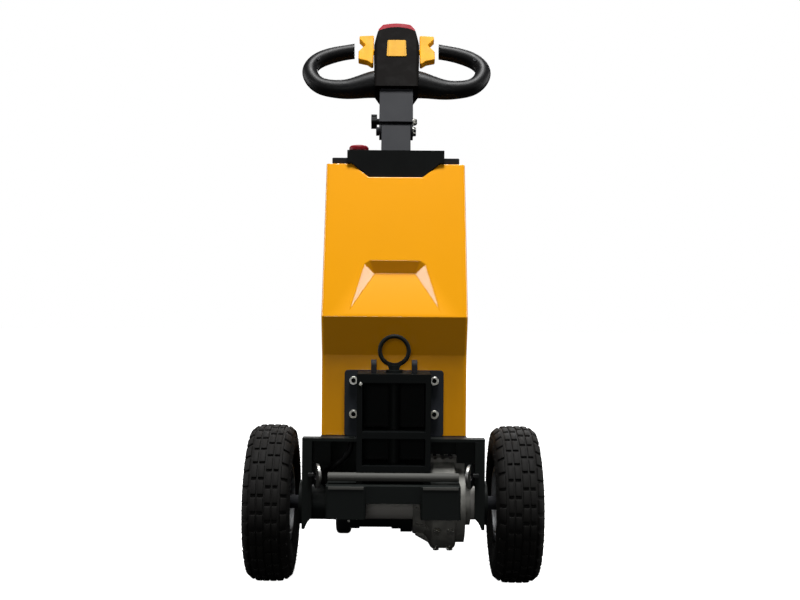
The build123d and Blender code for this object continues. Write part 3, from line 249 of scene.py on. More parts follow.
class Graph(Tree):
    """One material's node tree, ending in a Principled BSDF."""

    def __init__(self, name: str) -> None:
        """Starts a material.

        Args:
            name: the material's name.
        """
        self.material = bpy.data.materials.new(name)
        self.material.use_nodes = True
        super().__init__(self.material.node_tree)
        shader = self.node("ShaderNodeBsdfPrincipled", {}, {}, "BSDF")
        self.show("ShaderNodeOutputMaterial", shader)
        self.shader = shader.socket.node
        self.point = self.node("ShaderNodeTexCoord", {}, {}, "Object")

    def mix(self, factor: Value, first: object, second: object) -> Signal:
        """Mixes two colours: the first at factor 0 and the second at 1."""
        settings = {"data_type": "RGBA"}
        return self.node("ShaderNodeMix", settings, {0: factor, 6: first, 7: second}, 2)

    def drift(self, size: float, color: Color, darker: float, lighter: float) -> Signal:
        """A colour that drifts between a darker and a lighter shade of itself in soft patches.

        Args:
            size: how large the patches are.
            color: the colour.
            darker: its factor in the darkest patches.
            lighter: its factor in the lightest patches.

        Returns:
            The drifting colour.
        """
        patch = self.noise(size, 4.0).rise(0.3, 0.7)
        return self.mix(patch, shade(color, darker), shade(color, lighter))

    def axis(self, name: str) -> Signal:
        """One coordinate of the object's own point, X, Y or Z."""
        return self.node("ShaderNodeSeparateXYZ", {}, {0: self.point}, name)

    def noise(self, size: float, detail: float = 3.0, rough: float = 0.55) -> Signal:
        """Cloudy noise from 0 to 1.

        Args:
            size: how large its patches are.
            detail: how many finer layers it has.
            rough: how strong the finer layers are.

        Returns:
            The noise.
        """
        links = {"Vector": self.point, "Scale": 1.0 / size, "Detail": detail, "Roughness": rough}
        return self.node("ShaderNodeTexNoise", {}, links, "Fac")

    def cells(self, size: float) -> Signal:
        """Distance to the nearest of many scattered points, in cells of this size."""
        links = {"Vector": self.point, "Scale": 1.0 / size}
        return self.node("ShaderNodeTexVoronoi", {}, links, "Distance")

    def from_axle(self) -> Signal:
        """The distance from the drive axle's line: the root of the two squared offsets.

        Returns:
            The distance.
        """
        behind = self.axis("Y") - float(AXLE[1])
        above = self.axis("Z") - float(AXLE[2])
        return (behind * behind + above * above) ** 0.5

    def upward(self) -> Signal:
        """How far the surface faces up: 1 on a floor, 0 on a wall, -1 on a ceiling."""
        normal = self.node("ShaderNodeNewGeometry", {}, {}, "Normal")
        return self.node("ShaderNodeSeparateXYZ", {}, {0: normal}, "Z")

    def bump(self, height: Signal, depth: float) -> Signal:
        """A bumped normal from a height of 0 to 1 that stands for depth metres."""
        return self.node("ShaderNodeBump", {}, {"Height": height, "Distance": depth}, "Normal")

    def surface(self, **sockets: object) -> bpy.types.Material:
        """Sets or links the shader's sockets.

        Args:
            **sockets: values or signals by the socket's name, with _ for each space.

        Returns:
            The material.
        """
        names = {name.lower().replace(" ", "_"): name for name in self.shader.inputs.keys()}
        for key, value in sockets.items():
            self._feed(self.shader.inputs[names[key]], value)
        return self.material


@dataclass(frozen=True)
class PowderCoat:
    """Powder coated sheet or plate with a faint orange peel and a little dust on what faces up."""

    color: Color
    roughness: float = 0.36
    roughness_spread: float = 0.1
    roughness_patch: float = 0.045
    peel: float = 0.00004
    peel_size: float = 0.0016
    cloud: float = 0.06
    cloud_size: float = 0.16
    dust: float = 0.0
    dust_patch: float = 0.03
    dust_color: Color = srgb(150, 145, 138)
    specular: float = 0.5
    coat: float = 0.0
    coat_roughness: float = 0.12

    def material(self, name: str) -> bpy.types.Material:
        """Builds the material.

        Args:
            name: its name.

        Returns:
            The material.
        """
        graph = Graph(name)
        color = graph.drift(self.cloud_size, self.color, 1 - self.cloud, 1 + self.cloud)
        if self.dust > 0:
            film = graph.upward().rise(0.4, 1.0) * graph.noise(self.dust_patch, 5.0).rise(0.3, 0.8)
            color = graph.mix(film * self.dust, color, self.dust_color)
        patch = graph.noise(self.roughness_patch)
        rough = patch * self.roughness_spread + (self.roughness - self.roughness_spread / 2)
        normal = graph.bump(graph.noise(self.peel_size, 1.0), self.peel)
        return graph.surface(base_color=color, roughness=rough, normal=normal,
                             specular_ior_level=self.specular, coat_weight=self.coat,
                             coat_roughness=self.coat_roughness)


@dataclass(frozen=True)
class MouldedPlastic:
    """Injection moulded plastic with a spark-eroded grain, a little smoother where it is rubbed."""

    color: Color
    roughness: float = 0.5
    grain: float = 0.00006
    grain_size: float = 0.0009
    patch: float = 0.05
    rub_patch: float = 0.02
    rub: float = 0.08
    specular: float = 0.35
    coat: float = 0.0

    def material(self, name: str) -> bpy.types.Material:
        """Builds the material.

        Args:
            name: its name.

        Returns:
            The material.
        """
        graph = Graph(name)
        color = graph.drift(self.patch, self.color, 0.9, 1.12)
        rough = self.roughness - graph.noise(self.rub_patch, 4.0).rise(0.45, 0.75) * self.rub
        normal = graph.bump(graph.cells(self.grain_size), self.grain)
        return graph.surface(base_color=color, roughness=rough, normal=normal, coat_weight=self.coat,
                             specular_ior_level=self.specular)


@dataclass(frozen=True)
class TyreRubber:
    """Black rubber with a dry bloom, fine grain and moulded rings round the walls of the drive tyres.

    The rings lie ring_pitch apart and end at ring_limit from the axle. With no limit there are none.
    """

    color: Color
    bloom: Color
    roughness: float = 0.72
    bloom_patch: float = 0.035
    bloom_share: float = 0.6
    bloom_roughness: float = 0.1
    grain_size: float = 0.0012
    grain_share: float = 0.35
    relief: float = 0.0004
    ring_pitch: float = 0.0045
    ring_limit: float = 0.0
    ring_fade: float = 0.003
    specular: float = 0.2

    def material(self, name: str) -> bpy.types.Material:
        """Builds the material.

        Args:
            name: its name.

        Returns:
            The material.
        """
        graph = Graph(name)
        patch = graph.noise(self.bloom_patch, 5.0).rise(0.35, 0.75)
        color = graph.mix(patch * self.bloom_share, self.color, self.bloom)
        rough = self.roughness + patch * self.bloom_roughness
        height = graph.noise(self.grain_size) * self.grain_share
        if self.ring_limit > 0:
            radius = graph.from_axle()
            half = self.ring_pitch / 2
            wave = abs(graph.math("PINGPONG", radius, half) / half)
            inside = 1 - radius.rise(self.ring_limit - self.ring_fade, self.ring_limit)
            height = height + wave.rise(0.55, 0.95) * inside
        normal = graph.bump(height, self.relief)
        return graph.surface(base_color=color, roughness=rough, normal=normal,
                             specular_ior_level=self.specular)


@dataclass(frozen=True)
class Metal:
    """Bare, plated or cast metal with a fine grain, black where it lies painted_from off the middle."""

    color: Color
    tint: Color
    roughness: float = 0.35
    roughness_spread: float = 0.16
    tint_patch: float = 0.018
    tint_roughness: float = 0.06
    grain_size: float = 0.0008
    grain: float = 0.00003
    metallic: float = 1.0
    painted_from: float = 0.0
    paint_edge: float = 0.0003
    paint_color: Color = srgb(16, 18, 18)

    def material(self, name: str) -> bpy.types.Material:
        """Builds the material.

        Args:
            name: its name.

        Returns:
            The material.
        """
        graph = Graph(name)
        patch = graph.noise(self.tint_patch, 4.0).rise(0.35, 0.7)
        color = graph.mix(patch, self.color, self.tint)
        metallic: Value = self.metallic
        if self.painted_from > 0:
            start, end = self.painted_from - self.paint_edge, self.painted_from + self.paint_edge
            paint = abs(graph.axis("X")).rise(start, end)
            color = graph.mix(paint, color, self.paint_color)
            metallic = 1 - paint
        grain = graph.noise(self.grain_size, rough=0.6)
        rough = self.roughness + (grain - 0.5) * self.roughness_spread + patch * self.tint_roughness
        normal = graph.bump(grain, self.grain)
        return graph.surface(base_color=color, roughness=rough, metallic=metallic, normal=normal)


@dataclass(frozen=True)
class BarePlate:
    """A blank printed plate: one colour with a thin darker line along its two long edges."""

    color: Color
    line: Color
    half_width: float
    inset: float = 0.0025
    stroke: float = 0.0007
    line_share: float = 0.6
    patch: float = 0.02
    roughness: float = 0.4
    roughness_spread: float = 0.12
    roughness_patch: float = 0.006
    specular: float = 0.06

    def material(self, name: str) -> bpy.types.Material:
        """Builds the material.

        Args:
            name: its name.

        Returns:
            The material.
        """
        graph = Graph(name)
        edge = abs(graph.axis("X")) - (self.half_width - self.inset)
        border = 1 - abs(edge).rise(self.stroke / 2, self.stroke)
        patch = graph.noise(self.patch).rise(0.3, 0.7)
        face = graph.mix(patch, shade(self.color, 0.94), shade(self.color, 1.05))
        color = graph.mix(border * self.line_share, face, self.line)
        rough = graph.noise(self.roughness_patch) * self.roughness_spread + self.roughness
        return graph.surface(base_color=color, roughness=rough, specular_ior_level=self.specular)


@dataclass
class Shape:
    """Points with their quads and triangles."""

    points: np.ndarray
    quads: np.ndarray = field(default_factory=lambda: np.zeros((0, 4), int))
    tris: np.ndarray = field(default_factory=lambda: np.zeros((0, 3), int))

    @staticmethod
    def joined(shapes: Sequence["Shape"]) -> "Shape":
        """Puts several shapes into one: each shape's faces count on from the points before it.

        Args:
            shapes: the shapes.

        Returns:
            One shape with all their points.
        """
        starts = np.cumsum([0] + [len(shape.points) for shape in shapes[:-1]])
        return Shape(
            np.concatenate([shape.points for shape in shapes]),
            np.concatenate([shape.quads + start for shape, start in zip(shapes, starts)]),
            np.concatenate([shape.tris + start for shape, start in zip(shapes, starts)]),
        )

    @staticmethod
    def sheet(grid: np.ndarray, wrap_rows: bool = False, wrap_columns: bool = False) -> "Shape":
        """A surface over a grid of points: each square of neighbours is a quad.

        Args:
            grid: points by row and column.
            wrap_rows: whether the last row joins the first.
            wrap_columns: whether the last column joins the first.

        Returns:
            The surface.
        """
        rows, columns = grid.shape[:2]
        row = np.arange(rows if wrap_rows else rows - 1)[:, None]
        column = np.arange(columns if wrap_columns else columns - 1)[None, :]
        below, right = (row + 1) % rows, (column + 1) % columns
        quads = np.stack([row * columns + column, row * columns + right,
                          below * columns + right, below * columns + column], axis=-1)
        return Shape(grid.reshape(-1, 3), quads.reshape(-1, 4))

    @staticmethod
    def tube(rings: np.ndarray) -> "Shape":
        """A closed body over rings of points, each end closed by a fan to the ring's middle.

        Args:
            rings: points by ring and place round the ring.

        Returns:
            The body.
        """
        body = Shape.sheet(rings, wrap_columns=True)
        rows, columns = rings.shape[:2]
        middles = np.stack([rings[0].mean(axis=0), rings[-1].mean(axis=0)])
        first = len(body.points)
        index = np.arange(columns)
        after = (index + 1) % columns
        last_row = (rows - 1) * columns
        front = np.stack([after, index, np.full(columns, first)], axis=-1)
        back = np.stack([last_row + index, last_row + after, np.full(columns, first + 1)], axis=-1)
        return Shape(np.concatenate([body.points, middles]), body.quads, np.concatenate([front, back]))

    @staticmethod
    def lathe(profile: Profile, segments: int = 32) -> "Shape":
        """A body turned round +Z: each point of the profile becomes a ring, and both ends are closed.

        Args:
            profile: (radius, height) from one end to the other.
            segments: how many sides it has.

        Returns:
            The body.
        """
        line = np.asarray(profile, float)
        angle = np.arange(segments) * 2 * math.pi / segments
        radius = line[:, :1]
        height = np.broadcast_to(line[:, 1:], (len(line), segments))
        return Shape.tube(np.stack([radius * np.cos(angle), radius * np.sin(angle), height], axis=-1))

    @staticmethod
    def wheel(outline: Sequence[Tuple[float, float]], segments: int = 72) -> "Shape":
        """A ring turned round the X axis: the closed outline is repeated at every angle.

        Args:
            outline: (x, radius) round the section, which stays off the axis.
            segments: how many sides it has.

        Returns:
            The ring.
        """
        line = np.asarray(outline, float)
        angle = np.arange(segments)[:, None] * 2 * math.pi / segments
        across = np.broadcast_to(line[:, 0], (segments, len(line)))
        grid = np.stack([across, np.sin(angle) * line[:, 1], np.cos(angle) * line[:, 1]], axis=-1)
        return Shape.sheet(grid, wrap_rows=True, wrap_columns=True)

    @staticmethod
    def brick(size: Triple, edge: float = 0.0003) -> "Shape":
        """A box that stands on the XY plane: three rings of four corners, the upper edges eased.

        Args:
            size: its width, depth and height.
            edge: how wide the eased edges are.

        Returns:
            The box.
        """
        half = np.array([(1, 1), (-1, 1), (-1, -1), (1, -1)]) * np.asarray(size[:2], float) / 2
        low = np.column_stack([half, np.zeros(4)])
        side = np.column_stack([half, np.full(4, size[2] - edge)])
        top = np.column_stack([half - np.sign(half) * edge, np.full(4, size[2])])
        return Shape.tube(np.stack([low, side, top]))

    def moved(self, turn: np.ndarray, place: Sequence[float]) -> "Shape":
        """Turns the points by a 3 by 3 matrix and moves them."""
        return Shape(self.points @ np.asarray(turn).T + np.asarray(place), self.quads, self.tris)

    def at(self, place: Sequence[float]) -> "Shape":
        """Moves the points."""
        return Shape(self.points + np.asarray(place), self.quads, self.tris)

    def mesh(self, name: str, shading: Shading) -> bpy.types.Mesh:
        """Makes a mesh whose faces all point outwards.

        Args:
            name: the mesh's name.
            shading: how its faces meet.

        Returns:
            The mesh.
        """
        mesh = bpy.data.meshes.new(name)
        mesh.from_pydata(self.points.tolist(), [], self.quads.tolist() + self.tris.tolist())
        build = bmesh.new()
        build.from_mesh(mesh)
        bmesh.ops.recalc_face_normals(build, faces=build.faces)
        build.to_mesh(mesh)
        build.free()
        smooth(mesh, shading)
        return mesh


def smooth(mesh: bpy.types.Mesh, shading: Shading) -> None:
    """Shades a mesh smoothly but for the edges above the shading's angle."""
    mesh.shade_smooth()
    mesh.set_sharp_from_angle(angle=math.radians(shading.value))


def axis_turn(axis: Sequence[float]) -> np.ndarray:
    """The turn that takes +Z to an axis, worked out from two cross products with a helper axis.

    Args:
        axis: the direction that +Z becomes.

    Returns:
        A 3 by 3 matrix.
    """
    along = np.asarray(axis, float) / np.linalg.norm(axis)
    helper = np.array([1.0, 0.0, 0.0]) if abs(along[0]) < 0.9 else np.array([0.0, 1.0, 0.0])
    across = np.cross(helper, along)
    across /= np.linalg.norm(across)
    return np.stack([across, np.cross(along, across), along], axis=1)


def rounded_line(corners: np.ndarray, rounds: int) -> np.ndarray:
    """Rounds an open line by cutting every side at a quarter and at three quarters, round after round.

    Args:
        corners: the line's corners, of which the two ends stay.
        rounds: how often it is cut.

    Returns:
        The rounded line.
    """
    line = np.asarray(corners, float)
    for _ in range(rounds):
        before, after = line[:-1], line[1:]
        cut = np.stack([before * 0.75 + after * 0.25, before * 0.25 + after * 0.75], axis=1)
        line = np.concatenate([line[:1], cut.reshape(-1, line.shape[1]), line[-1:]])
    return line


def ring_radius(angles: np.ndarray, radius: float, hexagon: bool) -> np.ndarray:
    """The distance from the axis to a circle or a hexagon: on a flat, its radius over the cosine.

    Args:
        angles: the angles round the axis.
        radius: the circle's radius, or the distance from the axis to the hexagon's flats.
        hexagon: whether the outline is a hexagon.

    Returns:
        One distance for each angle.
    """
    if not hexagon:
        return np.full_like(angles, radius)
    sector = np.mod(angles, math.pi / 3) - math.pi / 6
    return radius / np.cos(sector)


@dataclass(frozen=True)
class WeldBead:
    """A straight weld bead: a tube whose radius swells once every ripple, so it looks like scales."""

    radius: float
    ripple: float = 0.0016
    swell: float = 0.14
    taper: float = 0.5
    steps: int = 4
    least_rings: int = 8
    sides: int = 8

    def between(self, start: Sequence[float], end: Sequence[float]) -> Shape:
        """Lays the bead: rings along a line, their radius the size of a sine of the way, ends tapered.

        Args:
            start: where it starts.
            end: where it ends.

        Returns:
            The bead.
        """
        start, end = np.asarray(start, float), np.asarray(end, float)
        reach = np.linalg.norm(end - start)
        count = max(self.least_rings, int(reach / self.ripple) * self.steps)
        run = np.linspace(0.0, 1.0, count)
        wave = np.abs(np.sin(run * reach / self.ripple * math.pi))
        radius = self.radius * (1 - self.swell + self.swell * wave)
        radius[0] = radius[-1] = self.radius * self.taper
        angle = np.arange(self.sides) * 2 * math.pi / self.sides
        height = np.broadcast_to((run * reach)[:, None], (count, self.sides))
        rings = np.stack([radius[:, None] * np.cos(angle), radius[:, None] * np.sin(angle), height], axis=-1)
        return Shape.tube(rings).moved(axis_turn(end - start), start)


@dataclass(frozen=True)
class Fastener:
    """A screw or a nut on its washer, standing on +Z from its seat.

    The shares are of the head's radius for its edge and its washer's thickness, of the head's height
    for the socket's floor, and of the thread's radius for how far the thread stands out and tapers.
    """

    head: float
    height: float
    hexagon: bool = False
    socket: float = 0.0
    washer: float = 0.0
    thread: float = 0.0
    edge_share: float = 0.06
    washer_share: float = 0.12
    floor_share: float = 0.45
    thread_share: float = 0.8
    tip_share: float = 0.15

    def rings(self) -> List[Tuple[float, float, bool]]:
        """The rings from the seat over the head and into its socket or up its thread.

        Returns:
            For each ring its radius, its height and whether it is a hexagon.
        """
        edge = self.head * self.edge_share
        rings: List[Tuple[float, float, bool]] = []
        seat = 0.0
        if self.washer > 0:
            seat = self.head * self.washer_share
            rings += [(self.washer, 0.0, False), (self.washer, seat, False)]
        rings += [(self.head, seat, self.hexagon), (self.head, self.height - edge, self.hexagon)]
        rings += [(self.head - edge, self.height, self.hexagon)]
        if self.socket > 0:
            rings += [(self.socket, self.height, True), (self.socket, self.height * self.floor_share, True)]
        elif self.thread > 0:
            top = self.height + self.thread * self.thread_share
            tip = top + self.thread * self.tip_share
            rings += [(self.thread, self.height, False), (self.thread, top, False)]
            rings += [(self.thread * self.thread_share, tip, False)]
        return rings

    def shape(self, segments: int = 24) -> Shape:
        """The fastener as one surface on a grid of ring and angle.

        Args:
            segments: how many sides it has.

        Returns:
            The fastener at the origin.
        """
        angles = np.arange(segments) * 2 * math.pi / segments
        grid = np.stack([
            np.stack([ring_radius(angles, radius, hexagon) * np.cos(angles),
                      ring_radius(angles, radius, hexagon) * np.sin(angles),
                      np.full(segments, height)], axis=-1)
            for radius, height, hexagon in self.rings()
        ])
        return Shape.tube(grid)

    def hole(self) -> Shape:
        """Painted shade in the socket: a near-black plug a little smaller than the socket, over its floor."""
        profile = ((self.socket * 0.97, self.height * 0.5), (self.socket * 0.9, self.height * 0.56))
        return Shape.lathe(profile, segments=12)

    def at(self, spots: Sequence[Sequence[float]], axis: Sequence[float], hole: bool = False) -> Shape:
        """The same fastener at several spots, all along one axis.

        Args:
            spots: the places of its seats.
            axis: the direction in which it stands.
            hole: whether only the painted shade plugs in the sockets are made.

        Returns:
            All of them as one shape.
        """
        one = self.hole() if hole else self.shape()
        turn = axis_turn(axis)
        return Shape.joined([one.moved(turn, spot) for spot in spots])


class Paint(Enum):
    """Every finish on the machine."""

    YELLOW = PowderCoat(srgb(246, 166, 8), 0.42, peel=0.00001, cloud=0.012, specular=0.06, coat=1.0)
    BLACK = PowderCoat(srgb(28, 31, 30), 0.5, dust=0.01, specular=0.08)
    PLATE = PowderCoat(srgb(46, 49, 54), 0.5, specular=0.06)
    BRACKET = PowderCoat(srgb(20, 22, 22), 0.5, specular=0.05)
    GREY = PowderCoat(srgb(45, 46, 49), 0.5, specular=0.04)
    BAR = PowderCoat(srgb(84, 84, 81), 0.5, specular=0.08)
    TUBE = PowderCoat(srgb(165, 163, 158), 0.5, specular=0.1)
    SILVER = PowderCoat(srgb(165, 167, 169), 0.35)
    CONSOLE = MouldedPlastic(srgb(24, 26, 26), 0.55, specular=0.08)
    HEAD = MouldedPlastic(srgb(18, 16, 15), 0.62, specular=0.02)
    GRIP = MouldedPlastic(srgb(16, 16, 17), 0.45, grain=0.00007, grain_size=0.0012, specular=0.2)
    RED = MouldedPlastic(srgb(146, 14, 34), 0.5, grain=0.00001, specular=0.06)
    STOP = MouldedPlastic(srgb(118, 12, 26), 0.4, grain=0.00001, specular=0.15)
    THROTTLE = MouldedPlastic(srgb(242, 168, 22), 0.5, grain=0.00003, specular=0.08)
    BATTERY = MouldedPlastic(srgb(50, 52, 56), 0.6)
    WINDOW = MouldedPlastic(srgb(14, 18, 17), 0.12, grain=0.0, specular=0.5, coat=0.5)
    CABLE = MouldedPlastic(srgb(8, 8, 9), 0.5, grain=0.00004, specular=0.15)
    # Near-black: the valves' own rubber, and painted shade plugs in the screws' sockets.
    HOLE = MouldedPlastic(srgb(10, 10, 10), 0.7, specular=0.1)
    LIGHT_GREEN = MouldedPlastic(srgb(60, 150, 70), 0.25, grain=0.0, specular=0.5)
    LIGHT_AMBER = MouldedPlastic(srgb(215, 150, 30), 0.25, grain=0.0, specular=0.5)
    LIGHT_RED = MouldedPlastic(srgb(180, 35, 30), 0.25, grain=0.0, specular=0.5)
    TYRE = TyreRubber(srgb(14, 13, 12), srgb(22, 21, 19), ring_limit=0.122)
    ROLLER = TyreRubber(srgb(26, 26, 27), srgb(46, 45, 43), 0.6)
    WHEEL_CENTRE = MouldedPlastic(srgb(84, 86, 90), 0.5)
    ZINC = Metal(srgb(196, 196, 192), srgb(172, 170, 158), 0.36)
    EYE = Metal(srgb(205, 205, 202), srgb(180, 179, 172), 0.34, painted_from=0.1445)
    CAST = Metal(srgb(132, 131, 125), srgb(110, 109, 104), 0.6, grain_size=0.0012, grain=0.00016,
                 metallic=0.1)
    LABEL = BarePlate(srgb(214, 158, 30), srgb(120, 88, 20), 0.0205)


EasedNodes = Tuple[Tuple[str, Paint, float], ...]  # each node, its finish and how wide its edges are


class Workshop:
    """Holds the frame's facts and puts finished pieces on their bodies.

    Before a node is eased, points within merge_distance are one and faces within flat_angle join.
    Triangles within flat_cosine and flat_distance of the largest one belong to its flat face.
    """

    merge_distance: float = 1e-6
    flat_angle: float = math.radians(0.3)
    flat_cosine: float = 0.9999
    flat_distance: float = 0.0003

    def __init__(self, packed: dict) -> None:
        """Notes each node's body and slot, and builds every finish once.

        Args:
            packed: the frame.
        """
        record = packed["record"]
        groups = record["behaviour"]["bodies"]
        self.nodes = packed["nodes"]
        self.body = {node: body for body, members in groups.items() for node in members}
        self.slot = {entry["node"]: entry["material_slot"] for entry in record["subparts"]}
        self.finish = {paint: paint.value.material("finish_" + paint.name.lower()) for paint in Paint}

    def corners(self, node: str) -> np.ndarray:
        """The lowest and the highest corner of a node at rest, as two rows."""
        low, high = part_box(node)
        return np.array([list(low), list(high)])

    def middle(self, node: str) -> np.ndarray:
        """The middle of a node's box."""
        return self.corners(node).mean(axis=0)

    def face(self, node: str, aim: Sequence[float], least: float = 0.8) -> Tuple[np.ndarray, np.ndarray]:
        """Finds the largest flat face of a node that looks roughly one way.

        The largest triangle that looks that way sets the plane, and the face is every triangle in it.

        Args:
            node: the node.
            aim: the direction.
            least: the least cosine between the direction and the face's normal.

        Returns:
            The face's middle and its normal.
        """
        mesh = self.nodes[node].data
        count = len(mesh.polygons)
        normals, middles, areas = np.zeros(count * 3), np.zeros(count * 3), np.zeros(count)
        mesh.polygons.foreach_get("normal", normals)
        mesh.polygons.foreach_get("center", middles)
        mesh.polygons.foreach_get("area", areas)
        normals, middles = normals.reshape(-1, 3), middles.reshape(-1, 3)
        goal = np.asarray(aim, float) / np.linalg.norm(aim)
        best = int(np.where(normals @ goal > least, areas, 0.0).argmax())
        level = middles @ normals[best]
        alike = normals @ normals[best] > self.flat_cosine
        weight = np.where(alike & (np.abs(level - level[best]) < self.flat_distance), areas, 0.0)
        return (middles * weight[:, None]).sum(axis=0) / weight.sum(), normals[best]

    def place(self, name: str, mesh: bpy.types.Mesh, paint: Paint, like: str,
              replaces: Sequence[str] = ()) -> bpy.types.Object:
        """Makes a piece of a mesh and lets it ride with a node's body.

        Args:
            name: the piece's name.
            mesh: its mesh, in the machine's frame.
            paint: its finish.
            like: the node whose body it rides with.
            replaces: the nodes that it stands for.

        Returns:
            The piece.
        """
        piece = bpy.data.objects.new(name, mesh)
        bpy.context.scene.collection.objects.link(piece)
        mesh.materials.clear()
        mesh.materials.append(self.finish[paint])
        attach(piece, self.body[like])
        if replaces:
            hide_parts(*replaces)
        LOG.info("%s: %d faces on %s", name, len(mesh.polygons), self.body[like])
        return piece

    def add(self, name: str, shape: Shape, paint: Paint, like: str, shading: Shading = Shading.CRISP,
            replaces: Sequence[str] = ()) -> bpy.types.Object:
        """Makes a piece of a shape. See place for the arguments."""
        return self.place(name, shape.mesh(name, shading), paint, like, replaces)

    def screws(self, name: str, screw: Fastener, spots: Sequence[Sequence[float]], axis: Sequence[float],
               like: str, paint: Paint = Paint.ZINC) -> None:
        """Adds a row of one fastener, with a painted shade plug in each socket where it has them.

        Args:
            name: the row's name.
            screw: the fastener.
            spots: the places of its seats.
            axis: the direction in which it stands.
            like: the node whose body the row rides with.
            paint: its finish.
        """
        self.add(name, screw.at(spots, axis), paint, like)
        if screw.socket > 0:
            # Painted shade: near-black plugs darken the sockets.
            self.add(name + "_sockets", screw.at(spots, axis, hole=True), Paint.HOLE, like)

    def ease(self, node: str, paint: Paint, width: float, angle: float = 28.0) -> bpy.types.Object:
        """Replaces a node by a copy whose sharp edges are eased, as a press or a mould leaves them.

        Args:
            node: the node to copy.
            paint: the copy's finish.
            width: how wide the eased edges are.
            angle: the least angle, in degrees, at which an edge counts as sharp.

        Returns:
            The piece.
        """
        build = bmesh.new()
        build.from_mesh(self.nodes[node].data)
        bmesh.ops.remove_doubles(build, verts=build.verts, dist=self.merge_distance)
        bmesh.ops.dissolve_limit(build, angle_limit=self.flat_angle, verts=build.verts, edges=build.edges)
        limit = math.radians(angle)
        sharp = [edge for edge in build.edges
                 if len(edge.link_faces) == 2 and edge.calc_face_angle(0.0) > limit]
        if width > 0:
            bmesh.ops.bevel(build, geom=sharp, offset=width, offset_type="OFFSET", segments=2, profile=0.5,
                            affect="EDGES", clamp_overlap=True)
        bmesh.ops.triangulate(build, faces=[face for face in build.faces if len(face.verts) > 4])
        mesh = bpy.data.meshes.new(node + "_finished")
        build.to_mesh(mesh)
        build.free()
        smooth(mesh, Shading.CRISP)
        piece = self.place(node + "_finished", mesh, paint, node, [node])
        piece.modifiers.new("even_shading", "WEIGHTED_NORMAL").keep_sharp = True
        return piece

    def ease_all(self, table: EasedNodes) -> None:
        """Eases every node of a table of nodes, finishes and widths."""
        for node, paint, width in table:
            self.ease(node, paint, width)


@dataclass
class Chassis:
    """Side frames, deck, tray and battery with their screws and welds.

    The flanges are thin sheets behind the deck's front lip. The screws' places are measured from the
    tray's rear.
    """

    eased: EasedNodes = (
        ("deck_plate", Paint.BLACK, 0.0008), ("rear_tray", Paint.BLACK, 0.0008),
        ("side_frame_left", Paint.BLACK, 0.0008), ("side_frame_right", Paint.BLACK, 0.0008),
        ("battery_block", Paint.BATTERY, 0.003),
    )
    screw: Fastener = Fastener(0.0065, 0.0035, socket=0.0030)
    screw_places: Tuple[float, ...] = (0.03, 0.12, 0.21)
    rear_top: float = 0.208
    weld: WeldBead = WeldBead(0.0026)
    weld_sink: float = 0.0005
    weld_end: float = 0.006
    flange_size: Triple = (0.046, 0.003, 0.043)
    flange_x: float = 0.1435
    flange_back: float = 0.0255

    def build(self, shop: Workshop) -> None:
        """Eases and paints the chassis and adds its flanges, welds and screws.

        Args:
            shop: the workshop.
        """
        shop.ease_all(self.eased)
        for side in Side:
            self.flange(shop, side)
            self.tray_weld(shop, side)
            self.frame_screws(shop, side)

    def flange(self, shop: Workshop, side: Side) -> None:
        """Hangs a flange behind the deck's lip.

        Args:
            shop: the workshop.
            side: the side that it is on.
        """
        low = shop.corners("deck_plate")[0]
        place = (side.value * self.flange_x, low[1] + self.flange_back, low[2] - self.flange_size[2])
        flange = Shape.brick(self.flange_size).at(place)
        shop.add("deck_flange_" + side.tag, flange, Paint.BLACK, "deck_plate")

    def tray_weld(self, shop: Workshop, side: Side) -> None:
        """Welds the tray's rear corner from near its floor to near its top.

        Args:
            shop: the workshop.
            side: the side that it is on.
        """
        low, high = shop.corners("rear_tray")
        x, y = side.value * high[0], high[1] - self.weld_sink
        bead = self.weld.between((x, y, low[2] + self.weld_end), (x, y, self.rear_top - self.weld_end))
        shop.add("tray_weld_" + side.tag, bead, Paint.BLACK, "rear_tray")

    def frame_screws(self, shop: Workshop, side: Side) -> None:
        """Screws the tray to a side frame.

        Args:
            shop: the workshop.
            side: the side that they are on.
        """
        outer = side.value * shop.corners("deck_plate")[1][0]
        low, high = shop.corners("rear_tray")
        height = (low[2] + self.rear_top) / 2
        spots = [(outer, high[1] - back, height) for back in self.screw_places]
        out = (side.value, 0, 0)
        shop.screws("frame_screws_" + side.tag, self.screw, spots, out, "side_frame_" + side.tag)


